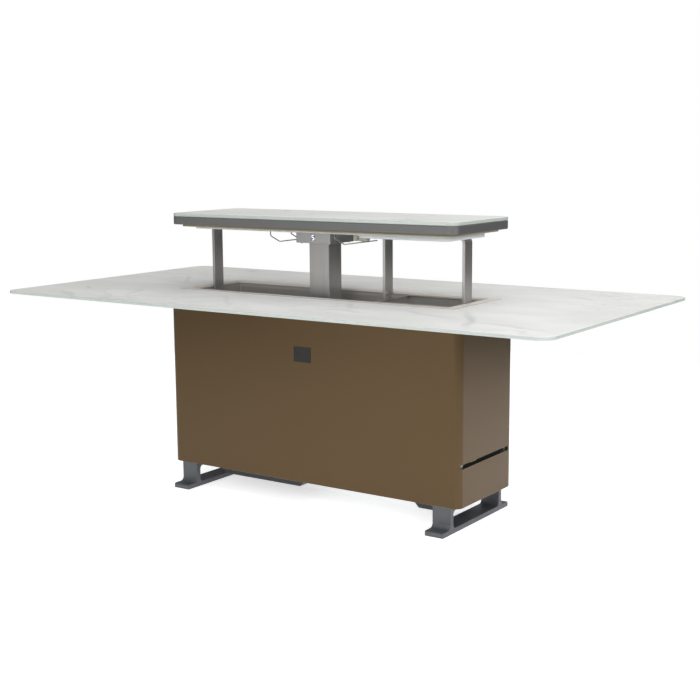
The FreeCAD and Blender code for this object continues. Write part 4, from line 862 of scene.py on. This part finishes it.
ear = {"half": 0.0245, "rise": 0.031, "sheet": 0.0015, "corner": 0.006, "screwY": 0.017,
       "screwRises": (0.006, 0.023), "screwRadius": 0.0042, "screwHeight": 0.0022}
bm = bmesh.new()
postFace, deck = middleHigh.x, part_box("tray_right")[1].z
earLow, earHigh = deck - ear["sheet"], deck + ear["rise"]
tab = [(-ear["half"], earLow), (ear["half"], earLow), (ear["half"], earHigh), (-ear["half"], earHigh)]
outlineSheet(bm, tab, [(2, ear["corner"]), (3, ear["corner"])], acrossFrom(postFace))
pullOut(bm, bm.faces[:], (ear["sheet"], 0, 0))
turnOut(bm)
settle(bm, "trayEar", "lid", [brushedPost])
earFace = postFace + ear["sheet"]
earSpots = [(earFace, side * ear["screwY"], deck + rise) for side in (-1, 1) for rise in ear["screwRises"]]
screwRow("earScrewHeads", "lid", earSpots, (1, 0, 0), ear["screwRadius"], ear["screwHeight"])
print("hangers and trays done")

# Wire hooks for stemmed glasses
hook = {"wire": 0.0020, "front": -0.095, "rear": 0.027, "leg": 0.018, "drop": 0.037, "dip": 0.041,
        "slope": 0.092, "narrow": 0.055, "rise": 0.013, "bar": 0.025, "knob": 0.006, "stub": 0.010,
        "bend": 0.008, "leftFeet": -0.211, "rightFeet": 0.069}
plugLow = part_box("lid_plug")[0].z


def hookSide(feet, y, way, share):
    # foot, leg, dip and slope of one side of a hook, the slope cut at a share of its length
    dip, low = feet + hook["dip"], plugLow - hook["drop"]
    end = (dip + hook["slope"] * share, y + way * hook["narrow"] * share, low + hook["rise"] * share)
    spots = ((feet, y, plugLow), (feet, y, plugLow - hook["leg"]), (dip, y, low), end)
    return [Vector(spot) for spot in spots]


def drawWire(bm, points):
    known = set(bm.faces)
    bmesh.ops.create_circle(bm, cap_ends=True, segments=12, radius=hook["wire"],
                            matrix=Matrix.Translation(points[0]))
    tip = next(face for face in bm.faces if face not in known)
    drawBar(bm, tip, points, hook["bend"], 8)


def hookBar(bm, feet):
    share = hook["bar"] / hook["slope"]
    front = hookSide(feet, hook["front"], 1, share)[-1] - Vector((0, hook["knob"], 0))
    rear = hookSide(feet, hook["rear"], -1, share)[-1]
    place = Matrix.Translation((front + rear) / 2) @ Matrix.Rotation(math.pi / 2, 4, "X")
    bmesh.ops.create_cone(bm, cap_ends=True, segments=12, radius1=hook["wire"], radius2=hook["wire"],
                          depth=(rear - front).length, matrix=place)


bm = bmesh.new()
feet, held = hook["leftFeet"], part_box("column_head")[0].x
share = (held - hook["stub"] - feet - hook["dip"]) / hook["slope"]
for y, way in ((hook["front"], 1), (hook["rear"], -1)):
    line = hookSide(feet, y, way, share)
    drawWire(bm, line + [Vector((held, line[-1].y, line[-1].z))])
hookBar(bm, feet)
settle(bm, "leftHook", "lid", [hookChrome], "glass_hook_left", sharp=50)

bm = bmesh.new()
feet = hook["rightFeet"]
drawWire(bm, hookSide(feet, hook["front"], 1, 1) + hookSide(feet, hook["rear"], -1, 1)[::-1])
hookBar(bm, feet)
settle(bm, "rightHook", "lid", [hookChrome], "glass_hook_right", sharp=50)

clip = {"sleeve": (0.070, 0.086), "block": (0.093, 0.130), "rear": (0.017, 0.037), "low": 0.939,
        "ease": 0.003}
bm = bmesh.new()
for near, far in (clip["sleeve"], clip["block"]):
    easedBlock(bm, (near, clip["rear"][0], clip["low"]), (far, clip["rear"][1], plugLow), clip["ease"], 3)
bridge = (plugLow + clip["low"]) / 2
easedBlock(bm, (clip["sleeve"][0], clip["rear"][0], bridge), (clip["block"][1], clip["rear"][1], plugLow),
           clip["ease"], 3)
settle(bm, "hookClip", "lid", [clipCream])
print("hooks done")

# Finishes of the pieces kept from the solids
keptFinishes = (
    (breakGrey, ("thermal_break",)), (foamFill, ("insulation_foam",)), (coreBoard, ("lid_core",)),
    (bronzePaint, ("rear_panel",)), (screwSteel, ("foot_bolts", "lift_spindle")),
    (blackSheet, ("vent_baffles", "compressor")), (railPaint, ("top_rails", "cross_tubes", "support_arms")),
    (padRubber, ("glass_pads", "compressor_grommets")), (coilMetal, ("condenser", "evaporator")),
    (copperPipe, ("refrigerant_lines",)), (earthGreen, ("earth_wire",)), (nutBrass, ("lift_nut",)),
    (linerSteel, ("evaporator_cover",)), (mouldedBlack, ("control_box", "power_inlet", "mains_rocker")),
    (mouldedBlack, ("condenser_fan_frame", "condenser_fan_rotor")),
    (mouldedBlack, ("circulation_fan_frame", "circulation_fan_rotor")),
    (galvanised, ("base_pan", "chassis_posts", "column_guide", "lift_motor")),
)
for finish, names in keptFinishes:
    for name in names:
        for slot in solids[name].material_slots:
            slot.material = finish
print("kept pieces finished")

# Floor, light and camera
floorLook = {"colour": (0.90, 0.90, 0.90), "grain": 40, "cloud": 0.3, "drift": 0.01, "rough": (0.6, 0.75),
             "bump": 0.02, "shader": {"Emission Color": (1, 1, 1, 1), "Emission Strength": 0.62}}
paleFloor = {"radius": 3.4, "sides": 96}
bm = bmesh.new()
bmesh.ops.create_circle(bm, cap_ends=True, segments=paleFloor["sides"], radius=paleFloor["radius"])
mesh = bpy.data.meshes.new("paleFloor")
bm.to_mesh(mesh)
bm.free()
mesh.materials.append(grainFinish("paleFloor", floorLook))
floor = bpy.data.objects.new("paleFloor", mesh)
bpy.context.scene.collection.objects.link(floor)

studio = {"seen": (1, 1, 1, 1), "bright": (0.97, 0.97, 0.95), "brightSide": (-0.28, -0.83, 0.48),
          "spread": 0.9, "brightLevel": 0.40, "dimLevel": 0.07}
world = bpy.data.worlds.new("studio")
bpy.context.scene.world = world
world.use_nodes = True
tree = world.node_tree
seen = tree.nodes["Background"]
seen.inputs["Color"].default_value = studio["seen"]
way = addNode(tree, "TexCoord")
facing = addNode(tree, "VectorMath", operation="DOT_PRODUCT")
facing.inputs[1].default_value = studio["brightSide"]
tree.links.new(way.outputs["Generated"], facing.inputs[0])
level = addNode(tree, "MapRange", From_Min=-studio["spread"], From_Max=studio["spread"],
                To_Min=studio["dimLevel"], To_Max=studio["brightLevel"])
tree.links.new(facing.outputs["Value"], level.inputs["Value"])
lit = addNode(tree, "Background", Color=(*studio["bright"], 1))
tree.links.new(level.outputs["Result"], lit.inputs["Strength"])
path = addNode(tree, "LightPath")
mix = addNode(tree, "MixShader")
tree.links.new(path.outputs["Is Camera Ray"], mix.inputs["Fac"])
tree.links.new(lit.outputs["Background"], mix.inputs[1])
tree.links.new(seen.outputs["Background"], mix.inputs[2])
tree.links.new(mix.outputs["Shader"], tree.nodes["World Output"].inputs["Surface"])

lamps = {
    "topSoftbox": {"at": (1.5, -0.2, 4.6), "aim": (0.4, 0, 0.7), "size": (5.0, 6.5), "power": 120,
                   "colour": (1.0, 0.995, 0.98)},
    "frontSoftbox": {"at": (1.6, -4.6, 2.7), "aim": (0.3, 0, 0.6), "size": (4.5, 1.8), "power": 105,
                     "colour": (1.0, 1.0, 1.0)},
    "endSoftbox": {"at": (5.0, -0.5, 2.2), "aim": (0.2, 0, 0.75), "size": (2.8, 1.2), "power": 74,
                   "colour": (0.98, 0.99, 1.0)},
    "rearSoftbox": {"at": (-0.2, 4.8, 3.6), "aim": (0, 0.15, 0.75), "size": (4.2, 1.6), "power": 43,
                    "colour": (1.0, 1.0, 1.0)},
    "lowPanel": {"at": (-1.8, -4.3, 0.7), "aim": (0.5, 0, 0.6), "size": (1.2, 1.0), "power": 11,
                 "colour": (1.0, 0.99, 0.97)},
}
for name, lamp in lamps.items():
    light = bpy.data.lights.new(name, "AREA")
    light.shape = "RECTANGLE"
    light.size, light.size_y = lamp["size"]
    light.energy = lamp["power"]
    light.color = lamp["colour"]
    holder = bpy.data.objects.new(name, light)
    bpy.context.scene.collection.objects.link(holder)
    holder.visible_camera = False
    aim = (Vector(lamp["aim"]) - Vector(lamp["at"])).to_track_quat("-Z", "Y")
    holder.matrix_world = Matrix.Translation(lamp["at"]) @ aim.to_matrix().to_4x4()

photoCamera = {"at": (2.5940, -3.7071, 1.2866), "yaw": 34.44, "pitch": 9.29, "roll": -0.41, "focal": 1271.4,
               "middle": (346.86, 349.41), "pixels": 700, "sensor": 36.0, "farClip": 200.0}
lens = bpy.data.cameras.new("photoCamera")
lens.sensor_width = photoCamera["sensor"]
lens.lens = photoCamera["sensor"] * photoCamera["focal"] / photoCamera["pixels"]
lens.shift_x = (photoCamera["pixels"] / 2 - photoCamera["middle"][0]) / photoCamera["pixels"]
lens.shift_y = (photoCamera["middle"][1] - photoCamera["pixels"] / 2) / photoCamera["pixels"]
lens.clip_end = photoCamera["farClip"]
holder = bpy.data.objects.new("photoCamera", lens)
bpy.context.scene.collection.objects.link(holder)
pose = Matrix.Translation(photoCamera["at"]) @ Matrix.Rotation(math.radians(photoCamera["yaw"]), 4, "Z")
pose = pose @ Matrix.Rotation(math.radians(90 - photoCamera["pitch"]), 4, "X")
holder.matrix_world = pose @ Matrix.Rotation(math.radians(photoCamera["roll"]), 4, "Z")
bpy.context.scene.camera = holder
bpy.context.scene.view_settings.view_transform = "Standard"
print("light and camera set")
